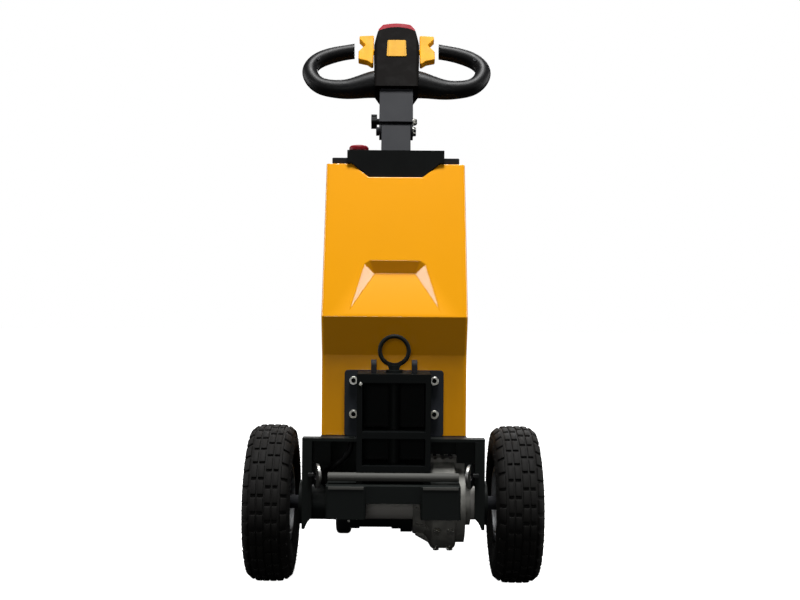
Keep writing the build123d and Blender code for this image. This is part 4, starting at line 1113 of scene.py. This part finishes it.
@dataclass
class Body:
    """The yellow covers, the grey top plate and the black console with its controls.

    Each row of the rear cover's screws has its name, the way its face looks and its half length.
    """

    cover_edge: float = 0.0012
    crease_angle: float = 14.0
    eased: EasedNodes = (
        ("rear_cover", Paint.YELLOW, 0.001), ("top_plate", Paint.GREY, 0.0012),
        ("console", Paint.CONSOLE, 0.0015), ("emergency_stop", Paint.STOP, 0.0006),
        ("key_switch", Paint.ZINC, 0.0004), ("charge_gauge", Paint.CONSOLE, 0.0005),
    )
    screw: Fastener = Fastener(0.0058, 0.0028, socket=0.0026)
    side_inset: float = 0.012
    rows: Tuple[Tuple[str, Triple, float], ...] = (
        ("upright", (0.0, 1.0, 0.0), 0.105), ("slope", (0.0, 0.81, 0.58), 0.085),
    )
    row_cosine: float = 0.97
    collar: Profile = ((0.0225, 0.0), (0.0225, 0.0022), (0.0215, 0.003), (0.016, 0.003))
    gauge_aim: Triple = (0.0, 0.5, 0.85)
    glass_edge: float = 0.0002
    window: Triple = (0.037, 0.019, 0.0006)
    window_sink: float = 0.0022
    light: Triple = (0.0065, 0.0045, 0.0005)
    light_sink: float = 0.0017
    light_pitch: float = 0.0105
    lights: Tuple[Paint, ...] = (Paint.LIGHT_RED, Paint.LIGHT_AMBER, Paint.LIGHT_GREEN)
    console_screw: Fastener = Fastener(0.0038, 0.0016, socket=0.0017)
    console_inset: float = 0.011
    console_places: Tuple[float, ...] = (0.014, 0.078)

    def build(self, shop: Workshop) -> None:
        """Eases and paints the body and adds its small pieces.

        Args:
            shop: the workshop.
        """
        shop.ease("front_cover", Paint.YELLOW, self.cover_edge, self.crease_angle)
        shop.ease_all(self.eased)
        self.rear_screws(shop)
        self.stop_collar(shop)
        self.gauge(shop)
        self.console_screws(shop)

    def rear_screws(self, shop: Workshop) -> None:
        """Screws along both sides of the rear cover, on its upright and on its sloping face.

        Args:
            shop: the workshop.
        """
        edge = shop.corners("rear_cover")[1][0] - self.side_inset
        for name, aim, reach in self.rows:
            middle, normal = shop.face("rear_cover", aim, self.row_cosine)
            along = np.cross(normal, LEFT)
            spots = [
                middle * MIDPLANE + np.array([side.value * edge, 0, 0]) + along * step
                for side in Side for step in (-reach, 0.0, reach)
            ]
            shop.screws("cover_screws_" + name, self.screw, spots, normal, "rear_cover")

    def stop_collar(self, shop: Workshop) -> None:
        """The plated collar that the emergency stop stands in.

        Args:
            shop: the workshop.
        """
        spot = shop.middle("emergency_stop")
        top = shop.corners("console")[1][2]
        collar = Shape.lathe(self.collar, segments=40).at((spot[0], spot[1], top))
        shop.add("stop_collar", collar, Paint.ZINC, "console")

    def gauge(self, shop: Workshop) -> None:
        """The charge gauge's window and its three lights, on the gauge's sloping face.

        Args:
            shop: the workshop.
        """
        middle, normal = shop.face("charge_gauge", self.gauge_aim)
        turn = np.stack([LEFT, np.cross(normal, LEFT), normal], axis=1)
        centre = shop.middle("charge_gauge")
        spot = centre + normal * ((middle - centre) @ normal)
        window = Shape.brick(self.window, self.glass_edge).moved(turn, spot - normal * self.window_sink)
        shop.add("gauge_window", window, Paint.WINDOW, "charge_gauge")
        light = Shape.brick(self.light, self.glass_edge)
        for index, paint in enumerate(self.lights):
            step = turn @ np.array([(index - 1) * self.light_pitch, 0.0, 0.0])
            piece = light.moved(turn, spot - normal * self.light_sink + step)
            shop.add("gauge_" + paint.name.lower(), piece, paint, "charge_gauge")

    def console_screws(self, shop: Workshop) -> None:
        """The four black screws on top of the console.

        Args:
            shop: the workshop.
        """
        low, high = shop.corners("console")
        x = high[0] - self.console_inset
        spots = [(side.value * x, low[1] + back, high[2]) for side in Side for back in self.console_places]
        shop.screws("console_screws", self.console_screw, spots, UP, "console", Paint.BLACK)


@dataclass
class Coupling:
    """The hitch plate with its four socket screws, the bracket with its jaws, the pin and the bumper."""

    eased: EasedNodes = (
        ("coupling_pin", Paint.BLACK, 0.0008), ("front_bumper", Paint.BLACK, 0.0008),
        ("hitch_plate", Paint.PLATE, 0.0008), ("hitch_bracket", Paint.BRACKET, 0.0008),
        ("hitch_ears", Paint.GREY, 0.0008), ("cross_bar", Paint.BAR, 0.0008),
        ("lashing_eye_left", Paint.EYE, 0.0006), ("lashing_eye_right", Paint.EYE, 0.0006),
    )
    screw: Fastener = Fastener(0.0082, 0.009, socket=0.0045)
    screw_x: float = 0.0774
    screw_heights: Tuple[float, ...] = (0.325, 0.3894)
    weld: WeldBead = WeldBead(0.0024)
    weld_bottom: float = 0.07
    weld_top: float = 0.008
    dot: Fastener = Fastener(0.0032, 0.0018)
    dot_inset: float = 0.007
    dot_drop: float = 0.018
    bumper_screw: Fastener = Fastener(0.0065, 0.005, hexagon=True, washer=0.0085)
    bumper_places: Tuple[float, ...] = (0.066, 0.106)
    # Pale strips along the blocks' tops: painted highlights where the top faces catch the light.
    strip: Triple = (0.064, 0.0016, 0.0046)
    strip_x: float = 0.0855

    def build(self, shop: Workshop) -> None:
        """Eases and paints the coupling and adds its screws, welds and painted highlight strips.

        Args:
            shop: the workshop.
        """
        shop.ease_all(self.eased)
        front = shop.corners("hitch_plate")[0][1]
        spots = [(side.value * self.screw_x, front, height) for side in Side for height in self.screw_heights]
        shop.screws("hitch_screws", self.screw, spots, FRONT, "hitch_plate")
        self.bracket(shop, front)
        self.bumper(shop)

    def bracket(self, shop: Workshop, front: float) -> None:
        """Welds both sides of the bracket to the plate and adds the small pin in its corner.

        Args:
            shop: the workshop.
            front: the place of the plate's front face.
        """
        low, high = shop.corners("hitch_bracket")
        bottom, top = low[2] + self.weld_bottom, high[2] - self.weld_top
        edges = [side.value * high[0] for side in Side]
        beads = [self.weld.between((edge, front, bottom), (edge, front, top)) for edge in edges]
        shop.add("bracket_welds", Shape.joined(beads), Paint.BLACK, "hitch_bracket")
        corner = (low[0] + self.dot_inset, low[1], high[2] - self.dot_drop)
        shop.screws("bracket_pin", self.dot, [corner], FRONT, "hitch_bracket")

    def bumper(self, shop: Workshop) -> None:
        """Screws under the bumper's blocks, and a pale strip along the top of each: a painted highlight for
        the lit top face.

        Args:
            shop: the workshop.
        """
        low, high = shop.corners("front_bumper")
        depth = (low[1] + high[1]) / 2
        spots = [(side.value * across, depth, low[2]) for side in Side for across in self.bumper_places]
        shop.screws("bumper_screws", self.bumper_screw, spots, DOWN, "front_bumper")
        # Painted highlight: pale strips stand for the lit top faces of the bumper's blocks.
        strip = Shape.brick(self.strip)
        y, z = low[1] - self.strip[1] / 4, high[2] - self.strip[2]
        highlight_strips = [strip.at((side.value * self.strip_x, y, z)) for side in Side]
        shop.add("bumper_strips", Shape.joined(highlight_strips), Paint.BAR, "front_bumper")


@dataclass
class DriveUnit:
    """Axle tube, gear case, motor and its cable, and a black sleeve of painted shade on the tube's -X end.

    The case's bolts stand in rows across the machine, at angles down from the front. The motor's
    studs stand on its terminal box, and its bolts on the bell behind it.
    """

    sheet_edge: float = 0.0008
    case_edge: float = 0.0015
    # A black sleeve over the axle tube's -X end: painted shade where that end lies dark.
    collar: Tuple[float, float] = (-0.1625, -0.118)
    collar_radius: float = 0.0332
    collar_wall: float = 0.004
    case_bolt: Fastener = Fastener(0.0055, 0.006, hexagon=True, washer=0.007)
    case_radius: float = 0.0858
    case_rows: Tuple[float, ...] = (0.082, 0.108)
    case_angles: Tuple[int, ...] = (26, 62, 98)
    motor_bolt: Fastener = Fastener(0.0048, 0.005, hexagon=True)
    motor_circle: float = 0.0425
    motor_angles: Tuple[float, ...] = (45.0, 135.0, 225.0, 315.0)
    terminal: float = 0.014
    stud: Fastener = Fastener(0.0045, 0.004, hexagon=True, washer=0.006, thread=0.0026)
    stud_step: float = 0.012
    stud_drop: float = 0.009

    def build(self, shop: Workshop) -> None:
        """Eases and paints the drive unit and adds its bolts and the black sleeve of painted shade on the
        axle tube.

        Args:
            shop: the workshop.
        """
        shop.ease("axle_tube", Paint.TUBE, self.sheet_edge)
        # Painted shade: the black sleeve darkens this end of the axle tube.
        start, end = self.collar
        outer, inner = self.collar_radius, self.collar_radius - self.collar_wall
        section = [(start, inner), (start, outer), (end, outer), (end, inner)]
        collar = Shape.wheel(section, segments=64).at(on_axle(0.0))
        shop.add("axle_collar", collar, Paint.BLACK, "axle_tube")
        shop.ease("gear_case", Paint.CAST, self.case_edge)
        shop.ease("drive_motor", Paint.BLACK, self.sheet_edge)
        shop.ease("motor_cable", Paint.CABLE, 0.0)
        for angle in self.case_angles:
            turn = math.radians(-angle)
            out = np.array([0.0, -math.cos(turn), math.sin(turn)])
            spots = [on_axle(x) + out * self.case_radius for x in self.case_rows]
            shop.screws(f"case_bolts_{angle}", self.case_bolt, spots, out, "gear_case")
        self.motor_bolts(shop)

    def motor_bolts(self, shop: Workshop) -> None:
        """The bolts round the motor's bell and the studs on its terminal box.

        Args:
            shop: the workshop.
        """
        box = shop.corners("drive_motor")[0][0]
        bell = box + self.terminal
        _, y, z = shop.middle("drive_motor")
        turns = np.radians(self.motor_angles)
        circle = self.motor_circle
        spots = [(bell, y + circle * math.cos(turn), z + circle * math.sin(turn)) for turn in turns]
        shop.screws("motor_bolts", self.motor_bolt, spots, RIGHT, "drive_motor")
        studs = [(box, y + step, z - self.stud_drop) for step in (-self.stud_step, self.stud_step)]
        shop.screws("motor_studs", self.stud, studs, RIGHT, "drive_motor")


@dataclass
class DriveWheel:
    """One pneumatic wheel: blocked tyre with its moulding hairs, rim and hub.

    The section gives half the carcass from the crown to the bead, as shares of the half width and
    drops from the crown. Each hair row gives its distance from the crown along the section and the
    share of the hairs' length. The hub's cap ends in a grease nipple.
    """

    side: Side
    tread_depth: float = 0.0045
    section: Profile = (
        (0.0, 0.0), (0.34, 0.0), (0.66, 0.0012), (0.92, 0.011), (1.0, 0.026), (1.0, 0.042), (0.9, 0.060),
        (0.73, 0.070), (0.73, 0.0815),
    )
    section_rounds: int = 4
    bead_seat: float = 0.0087
    pitches: int = 30
    segments: int = 120
    block_gap: float = 0.0042
    half_groove: float = 0.0012
    sipe_place: float = 0.0125
    sipe: float = 0.0022
    row_end: float = 0.0245
    shoulder: Tuple[float, float] = (0.0285, 0.0425)
    shoulder_height: float = 0.92
    pad_steps: Tuple[float, ...] = (0.0, 0.06, 0.14, 0.86, 0.94, 1.0)
    pad_rises: Tuple[float, ...] = (0.0, 0.85, 1.0, 1.0, 0.85, 0.0)
    pad_sink: float = 0.0004
    hair_rows: Profile = ((0.0335, 1.0), (0.041, 1.0), (0.053, 0.8))
    hairs: int = 56
    hair_length: float = 0.0062
    hair_radius: float = 0.0009
    hair_shortest: float = 0.45
    hair_lean: float = 0.35
    hair_jitter: float = 0.3
    row_shift: float = 0.37
    shoulder_radius: float = 0.14
    seed: int = 7
    sheet_edge: float = 0.0008
    nut: Fastener = Fastener(0.0085, 0.008, hexagon=True, washer=0.0105, thread=0.0048)
    nuts: int = 5
    nut_circle: float = 0.0355
    valve: Profile = (
        (0.0055, 0.0), (0.0045, 0.004), (0.0038, 0.018), (0.0048, 0.0185), (0.0048, 0.026), (0.003, 0.027),
    )
    valve_circle: float = 0.053
    valve_turn: float = 0.6
    cap: Profile = (
        (0.0195, 0.0), (0.0195, 0.002), (0.017, 0.0048), (0.0034, 0.0058), (0.0034, 0.0075),
        (0.0026, 0.009), (0.0032, 0.0105), (0.0012, 0.0118),
    )

    def profile(self, shop: Workshop) -> Curve:
        """Half the carcass's section: its corners are cut again and again, so it runs smoothly.

        Args:
            shop: the workshop.

        Returns:
            The section's curve.
        """
        low, high = shop.corners("tyre_" + self.side.tag)
        crown = (high[2] - low[2]) / 2 - self.tread_depth
        wide = (high[0] - low[0]) / 2
        shares, drops = np.array(self.section).T
        line = rounded_line(np.column_stack([wide * shares, crown - drops]), self.section_rounds)
        return line[:, 0], line[:, 1]

    def on_carcass(self, across: np.ndarray, angle: np.ndarray, height: np.ndarray,
                   curve: Curve) -> np.ndarray:
        """Points over the carcass.

        The distance runs along the section's curve, mirrored past the crown, and the height is added
        along the curve's normal before the section is turned round the axle.

        Args:
            across: distances from the crown along the section, negative on the inner side.
            angle: angles round the axle.
            height: heights over the carcass.
            curve: the section's curve.

        Returns:
            One point for each of them.
        """
        x, radius = curve
        steps = np.hypot(np.diff(x), np.diff(radius))
        run = np.concatenate([[0.0], np.cumsum(steps)])
        slope_x, slope_radius = np.gradient(x, run), np.gradient(radius, run)
        size = np.abs(across)
        normal_x = -np.interp(size, run, slope_radius)
        normal_radius = np.interp(size, run, slope_x)
        length = np.hypot(normal_x, normal_radius)
        point_x = np.sign(across) * (np.interp(size, run, x) + height * normal_x / length)
        point_radius = np.interp(size, run, radius) + height * normal_radius / length
        return np.stack([point_x, point_radius * np.sin(angle), point_radius * np.cos(angle)], axis=-1)

    def carcass(self, curve: Curve, bore: float) -> Shape:
        """The tyre without its blocks: the section turned round the axle and closed at the bead.

        Args:
            curve: the section's curve.
            bore: the radius at which the tyre sits on its rim.

        Returns:
            The carcass round the origin.
        """
        x, radius = curve
        line_x = np.concatenate([-x[::-1], x[1:], [x[-1], -x[-1]]])
        line_radius = np.concatenate([radius[::-1], radius[1:], [bore, bore]])
        return Shape.wheel(np.column_stack([line_x, line_radius]), self.segments)

    def blocks(self, curve: Curve) -> Shape:
        """The tread blocks: rounded pads on a grid, mapped onto the carcass.

        Across the tread each half has a pair of blocks parted by a sipe and a shoulder block, and the
        halves are half a pitch apart. A pad's height is the lesser of its two edge profiles.

        Args:
            curve: the section's curve.

        Returns:
            The blocks round the origin.
        """
        pitch = 2 * math.pi / self.pitches
        gap = self.block_gap / (float(curve[1][0]) + self.tread_depth)
        step, rise = np.array(self.pad_steps), np.array(self.pad_rises)
        size = (self.pitches, len(step), len(step))
        angle = gap / 2 + (pitch - gap) * step
        columns = (  # start and end across the tread, shift in pitches, and share of the depth
            (self.half_groove, self.sipe_place, 0.0, 1.0),
            (self.sipe_place + self.sipe, self.row_end, 0.0, 1.0),
            (*self.shoulder, 0.5, self.shoulder_height),
        )
        parts = []
        for hand in (-1, 1):
            for start, end, shift, tall in columns:
                base = (np.arange(self.pitches) + (shift + hand * 0.25)) * pitch
                across = start + (end - start) * step
                height = np.minimum.outer(rise, rise) * self.tread_depth * tall
                grid = self.on_carcass(
                    hand * np.broadcast_to(across[None, None, :], size),
                    np.broadcast_to(base[:, None, None] + angle[None, :, None], size),
                    np.broadcast_to(height[None], size) - self.pad_sink,
                    curve,
                )
                first = np.arange(self.pitches)[:, None, None] * len(step) ** 2
                quads = Shape.sheet(grid[0]).quads[None] + first
                parts.append(Shape(grid.reshape(-1, 3), quads.reshape(-1, 4)))
        return Shape.joined(parts)

    def moulding_hairs(self, curve: Curve) -> Shape:
        """Thin rubber spikes at the shoulders, three-sided, each leaning a little at random.

        Args:
            curve: the section's curve.

        Returns:
            The hairs round the origin.
        """
        draw = np.random.default_rng(self.seed + self.side.value)
        count, radius = self.hairs, self.shoulder_radius
        corner = np.arange(3) * 2 * math.pi / 3
        sides = np.array([(0, 1, 3), (1, 2, 3), (2, 0, 3), (2, 1, 0)])
        parts = []
        for hand in (-1, 1):
            for row, (across, share) in enumerate(self.hair_rows):
                jitter = draw.uniform(-self.hair_jitter, self.hair_jitter, count)
                angle = (np.arange(count) + self.row_shift * row + jitter) * 2 * math.pi / count
                reach = self.hair_length * draw.uniform(self.hair_shortest, 1.0, count) * share
                lean = draw.uniform(-self.hair_lean, self.hair_lean, (count, 2)) * reach[:, None]
                foot_across = across + self.hair_radius * np.cos(corner)[None, :]
                foot_angle = angle[:, None] + self.hair_radius * np.sin(corner)[None, :] / radius
                foot = self.on_carcass(hand * np.broadcast_to(foot_across, (count, 3)), foot_angle,
                                       np.zeros((count, 3)), curve)
                tip = self.on_carcass(hand * (across + lean[:, :1]), angle[:, None] + lean[:, 1:] / radius,
                                      reach[:, None], curve)
                points = np.concatenate([foot, tip], axis=1).reshape(-1, 3)
                first = np.arange(count)[:, None] * 4
                parts.append(Shape(points, tris=(first[:, None] + sides[None]).reshape(-1, 3)))
        return Shape.joined(parts)

    def build(self, shop: Workshop) -> None:
        """Builds the tyre and finishes the rim and the hub.

        Args:
            shop: the workshop.
        """
        tyre, rim, hub = (f"{piece}_{self.side.tag}" for piece in ("tyre", "rim", "hub"))
        middle = shop.middle(tyre)
        curve = self.profile(shop)
        low, high = shop.corners(rim)
        bore = (high[2] - low[2]) / 2 - self.bead_seat
        treaded = Shape.joined([self.carcass(curve, bore), self.blocks(curve)]).at(middle)
        shop.add(tyre + "_treaded", treaded, Paint.TYRE, tyre, replaces=[tyre])
        shop.add(tyre + "_hairs", self.moulding_hairs(curve).at(middle), Paint.TYRE, tyre, Shading.FLAT)
        shop.ease(rim, Paint.SILVER, self.sheet_edge)
        shop.ease(hub, Paint.GREY, self.sheet_edge)
        self.rim_details(shop, rim, hub)

    def rim_details(self, shop: Workshop, rim: str, hub: str) -> None:
        """Wheel nuts, the valve and the hub's cap with its grease nipple.

        Args:
            shop: the workshop.
            rim: the rim's node.
            hub: the hub's node.
        """
        tag = self.side.tag
        out = (float(self.side.value), 0.0, 0.0)
        disc = on_axle(shop.face(rim, out)[0][0])
        turns = np.radians(np.arange(self.nuts) * 360.0 / self.nuts + 90.0)
        spots = [disc + self.nut_circle * np.array([0.0, math.cos(turn), math.sin(turn)]) for turn in turns]
        shop.screws("wheel_nuts_" + tag, self.nut, spots, out, rim)
        turn = turns[0] + self.valve_turn
        foot = disc + self.valve_circle * np.array([0.0, math.cos(turn), math.sin(turn)])
        valve = Shape.lathe(self.valve, segments=16).moved(axis_turn(out), foot)
        shop.add("valve_" + tag, valve, Paint.HOLE, rim)
        nose = shop.corners(hub)[1 if self.side is Side.LEFT else 0][0]
        cap = Shape.lathe(self.cap).moved(axis_turn(out), on_axle(nose))
        shop.add("hub_cap_" + tag, cap, Paint.ZINC, hub)


@dataclass
class Caster:
    """One rear swivel caster with a rubber tread on a plastic centre.

    The crown gives the tread's edge as insets from its side and drops from its top. The boss gives
    insets from the hub's end and radii, and the felloe insets from the tread's side and rises over
    the radius at which the rubber starts.
    """

    side: Side
    plate_edge: float = 0.0006
    fork_edge: float = 0.0005
    tread: float = 0.014
    tread_inset: float = 0.0004
    crown: Profile = (
        (0.0004, 0.0092), (0.0009, 0.0066), (0.0026, 0.0034), (0.0052, 0.0013), (0.0086, 0.0001),
    )
    hub_proud: float = 0.003
    boss: Profile = ((0.0, 0.0066), (0.0, 0.0165), (0.0012, 0.0178))
    recess: float = 0.008
    web_root: float = 0.0186
    felloe: Profile = ((0.008, -0.004), (0.004, -0.0022), (0.0012, -0.0016), (0.0008, 0.0004))
    axle_nut: Fastener = Fastener(0.0085, 0.0042, hexagon=True, washer=0.0105)
    nut_sink: float = 0.0047
    plate_bolt: Fastener = Fastener(0.0065, 0.005, hexagon=True, washer=0.0082)
    plate: float = 0.006
    bolt_place: float = 0.038

    def build(self, shop: Workshop) -> None:
        """Eases and paints the caster and turns its wheel.

        Args:
            shop: the workshop.
        """
        plate, fork, wheel = (f"caster_{piece}_{self.side.tag}" for piece in ("plate", "fork", "wheel"))
        shop.ease(plate, Paint.ZINC, self.plate_edge)
        shop.ease(fork, Paint.ZINC, self.fork_edge)
        low, high = shop.corners(wheel)
        middle = shop.middle(wheel)
        radius = (high[2] - low[2]) / 2
        hub = (high[0] - low[0]) / 2
        half = hub - self.hub_proud
        rim = radius - self.tread
        edge = half - self.tread_inset
        crown = [(-half + inset, radius - drop) for inset, drop in self.crown]
        tread = Shape.wheel([(-edge, rim), *self.mirrored(crown), (edge, rim)], segments=96)
        shop.add("caster_tread_" + self.side.tag, tread.at(middle), Paint.ROLLER, wheel, replaces=[wheel])
        outline = [(-hub + inset, size) for inset, size in self.boss]
        outline += [(-half + self.recess, self.web_root)]
        outline += [(-half + inset, rim + rise) for inset, rise in self.felloe]
        centre = Shape.wheel(self.mirrored(outline))
        shop.add("caster_centre_" + self.side.tag, centre.at(middle), Paint.WHEEL_CENTRE, wheel)
        self.axle_nuts(shop, fork, middle)
        self.plate_bolts(shop, plate)

    def mirrored(self, outline: List[Tuple[float, float]]) -> List[Tuple[float, float]]:
        """Half an outline and its mirror image past the wheel's middle."""
        return outline + [(-x, radius) for x, radius in reversed(outline)]

    def axle_nuts(self, shop: Workshop, fork: str, middle: np.ndarray) -> None:
        """The nuts on both ends of the wheel's axle.

        Args:
            shop: the workshop.
            fork: the fork's node.
            middle: the wheel's middle.
        """
        for end, hand in enumerate((-1, 1)):
            cheek = shop.corners(fork)[end][0] - hand * self.nut_sink
            shop.screws(f"caster_nut_{self.side.tag}_{end}", self.axle_nut, [(cheek, middle[1], middle[2])],
                        (hand, 0, 0), fork)

    def plate_bolts(self, shop: Workshop, plate: str) -> None:
        """The four bolts under the top plate.

        Args:
            shop: the workshop.
            plate: the plate's node.
        """
        centre = shop.middle(plate)
        under = shop.corners(plate)[1][2] - self.plate
        places = (-self.bolt_place, self.bolt_place)
        spots = [(centre[0] + x, centre[1] + y, under) for x in places for y in places]
        shop.screws("caster_bolts_" + self.side.tag, self.plate_bolt, spots, DOWN, plate)


@dataclass
class Tiller:
    """Post, sleeve, clamp, head with its controls, and the loop grips.

    A screw's place is across the machine, behind the tiller's axis and along it.
    """

    lean: float = math.radians(31.0)
    pivot_along: float = 0.042
    eased: EasedNodes = (
        ("tiller_post", Paint.GREY, 0.0008), ("tiller_sleeve", Paint.GREY, 0.0008),
        ("pivot_bolt", Paint.GREY, 0.0005), ("clamp_knob", Paint.CONSOLE, 0.0008),
        ("tiller_head", Paint.HEAD, 0.0015), ("safety_button", Paint.RED, 0.0008),
        ("label_plate", Paint.LABEL, 0.0003),
    )
    throttle_edge: float = 0.0006
    grip_screw: Fastener = Fastener(0.0042, 0.0012, socket=0.0018)
    grip_place: Triple = (0.1695, -0.0166, 0.231)
    clamp_nut: Fastener = Fastener(0.0065, 0.0055, hexagon=True, washer=0.0085, thread=0.0036)
    pivot_nut: Fastener = Fastener(0.0085, 0.006, hexagon=True, washer=0.0105)
    head_screw: Fastener = Fastener(0.0036, 0.0014, socket=0.0017)
    head_across: float = 0.024
    head_back: float = 0.033
    head_along: Tuple[float, ...] = (0.205, 0.292)

    def behind(self) -> np.ndarray:
        """The direction from the tiller's axis to its rear."""
        return np.array([0.0, math.cos(self.lean), -math.sin(self.lean)])

    def spot(self, shop: Workshop, across: float, back: float, along: float) -> np.ndarray:
        """A point of the tiller, counted from the foot of its leaning axis.

        Args:
            shop: the workshop.
            across: its place across the machine.
            back: how far it lies behind the axis.
            along: how far it lies along the axis.

        Returns:
            The point.
        """
        upward = np.array([0.0, math.sin(self.lean), math.cos(self.lean)])
        foot = shop.middle("pivot_bolt") * MIDPLANE - upward * self.pivot_along
        return foot + np.array([across, 0.0, 0.0]) + upward * along + self.behind() * back

    def build(self, shop: Workshop) -> None:
        """Eases and paints the tiller and adds its small pieces.

        Args:
            shop: the workshop.
        """
        shop.ease_all(self.eased)
        across, back, along = self.grip_place
        for side in Side:
            grip = "grip_" + side.tag
            shop.ease("throttle_" + side.tag, Paint.THROTTLE, self.throttle_edge)
            shop.ease(grip, Paint.GRIP, 0.0)
            spot = self.spot(shop, side.value * across, back, along)
            shop.screws("grip_screw_" + side.tag, self.grip_screw, [spot], -self.behind(), grip, Paint.GREY)
        self.cheek_nuts(shop)
        places = [(x, z) for x in (-self.head_across, self.head_across) for z in self.head_along]
        rear = [self.spot(shop, x, self.head_back, z) for x, z in places]
        shop.screws("head_screws", self.head_screw, rear, self.behind(), "tiller_head", Paint.BLACK)

    def cheek_nuts(self, shop: Workshop) -> None:
        """The clamp's nut and the pivot's nut on the sleeve's left cheek.

        Args:
            shop: the workshop.
        """
        cheek = np.array([shop.corners("tiller_sleeve")[1][0], 0.0, 0.0])
        clamp, pivot = (shop.middle(node) * MIDPLANE + cheek for node in ("clamp_knob", "pivot_bolt"))
        shop.screws("clamp_nut", self.clamp_nut, [clamp], LEFT, "tiller_sleeve")
        shop.screws("pivot_nut", self.pivot_nut, [pivot], LEFT, "pivot_bolt")


@dataclass(frozen=True)
class Lamp:
    """A square soft lamp that faces a target, each given across, behind the axle and above the floor."""

    name: str
    place: Triple
    target: Triple
    size: float
    power: float

    def build(self, hand: int = 1, tag: str = "") -> None:
        """Hangs the lamp.

        Args:
            hand: 1 as it is written, or -1 for its mirror image.
            tag: what is added to its name.
        """
        axle = np.array([0.0, AXLE[1], 0.0])
        place = np.array(self.place) * (hand, 1, 1) + axle
        matrix = np.eye(4)
        matrix[:3, :3] = axis_turn(place - (np.array(self.target) + axle))
        matrix[:3, 3] = place
        data = bpy.data.lights.new(self.name + tag, "AREA")
        data.size = self.size
        data.energy = self.power
        lamp = bpy.data.objects.new(self.name + tag, data)
        lamp.matrix_world = Matrix(matrix.tolist())
        bpy.context.scene.collection.objects.link(lamp)


@dataclass
class Studio:
    """White surroundings, soft lamps and the camera at the photograph's place.

    The pairs stand on both sides. The two glints shine in the facets of the cover's recess.
    """

    lens: float = 45.0
    sensor: float = 36.0
    distance: float = 1.948
    height: float = 0.544
    roll: float = math.radians(-0.45)
    shift: float = 0.0066
    clip: float = 60.0
    floor_size: float = 30.0
    floor_bounce: float = 0.018
    floor_shadow: float = 0.5
    fill: float = 0.012
    lamps: Tuple[Lamp, ...] = (
        Lamp("key", (0.2, -1.3, 7.4), (0.0, 0.05, 0.55), 2.4, 770.0),
        Lamp("front", (-0.3, -5.2, 1.1), (0.0, 0.0, 0.35), 0.9, 24.0),
        Lamp("rear", (0.9, 5.6, 4.2), (0.0, 0.2, 0.6), 3.6, 260.0),
    )
    pairs: Tuple[Lamp, ...] = (
        Lamp("glint_", (5.34, -3.02, 2.72), (0.0, 0.0, 0.58), 1.0, 32.0),
        Lamp("side_", (6.5, 1.8, 1.9), (0.0, 0.2, 0.6), 3.6, 170.0),
    )

    def build(self) -> None:
        """Builds the camera, the world, the floor and the lamps."""
        self.camera()
        self.world()
        self.floor()
        for lamp in self.lamps:
            lamp.build()
        for side in Side:
            for lamp in self.pairs:
                lamp.build(side.value, side.tag)

    def camera(self) -> None:
        """Puts the camera level, straight before the machine, rolled as in the photograph."""
        data = bpy.data.cameras.new("camera")
        data.lens = self.lens
        data.sensor_width = self.sensor
        data.shift_x = self.shift
        data.clip_end = self.clip
        camera = bpy.data.objects.new("camera", data)
        camera.location = (0.0, AXLE[1] - self.distance, self.height)
        camera.rotation_euler = (math.pi / 2, self.roll, 0.0)
        bpy.context.scene.collection.objects.link(camera)
        bpy.context.scene.camera = camera

    def world(self) -> None:
        """A white background for what is seen directly or through glass, and dim for the rest."""
        world = bpy.data.worlds.new("studio")
        bpy.context.scene.world = world
        world.use_nodes = True
        tree = Tree(world.node_tree)
        direct = tree.node("ShaderNodeLightPath", {}, {}, "Is Camera Ray")
        through = tree.node("ShaderNodeLightPath", {}, {}, "Is Transmission Ray")
        dim = tree.node("ShaderNodeBackground", {}, {"Color": WHITE, "Strength": self.fill})
        white = tree.node("ShaderNodeBackground", {}, {"Color": WHITE})
        seen = tree.math("MAXIMUM", direct, through)
        look = tree.node("ShaderNodeMixShader", {}, {0: seen, 1: dim, 2: white})
        tree.show("ShaderNodeOutputWorld", look)

    def floor(self) -> None:
        """A pale floor that looks white and throws little light back at the machine."""
        half = self.floor_size / 2
        corners = [(-half, -half, 0.0), (half, -half, 0.0), (half, half, 0.0), (-half, half, 0.0)]
        mesh = bpy.data.meshes.new("floor")
        mesh.from_pydata(corners, [], [(0, 1, 2, 3)])
        floor = bpy.data.objects.new("floor", mesh)
        bpy.context.scene.collection.objects.link(floor)
        material = bpy.data.materials.new("floor")
        material.use_nodes = True
        tree = Tree(material.node_tree)
        seen = tree.node("ShaderNodeLightPath", {}, {}, "Is Camera Ray")
        plain = tree.node("ShaderNodeBsdfDiffuse", {}, {"Color": (self.floor_bounce,) * 3})
        pale = tree.node("ShaderNodeBsdfDiffuse", {}, {"Color": (self.floor_shadow,) * 3})
        glow = tree.node("ShaderNodeEmission", {}, {"Strength": 1.0})
        both = tree.node("ShaderNodeAddShader", {}, {0: pale, 1: glow})
        look = tree.node("ShaderNodeMixShader", {}, {0: seen, 1: plain, 2: both})
        tree.show("ShaderNodeOutputMaterial", look)
        mesh.materials.append(material)


def main() -> None:
    """Builds the studio and every sub-assembly in order."""
    logging.basicConfig(level=logging.INFO, format="%(message)s")
    bpy.context.scene.view_settings.view_transform = "Standard"
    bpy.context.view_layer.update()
    shop = Workshop(frame)
    Studio().build()
    Chassis().build(shop)
    Body().build(shop)
    Coupling().build(shop)
    DriveUnit().build(shop)
    for side in Side:
        DriveWheel(side).build(shop)
        Caster(side).build(shop)
    Tiller().build(shop)


if __name__ == "__main__":
    main()
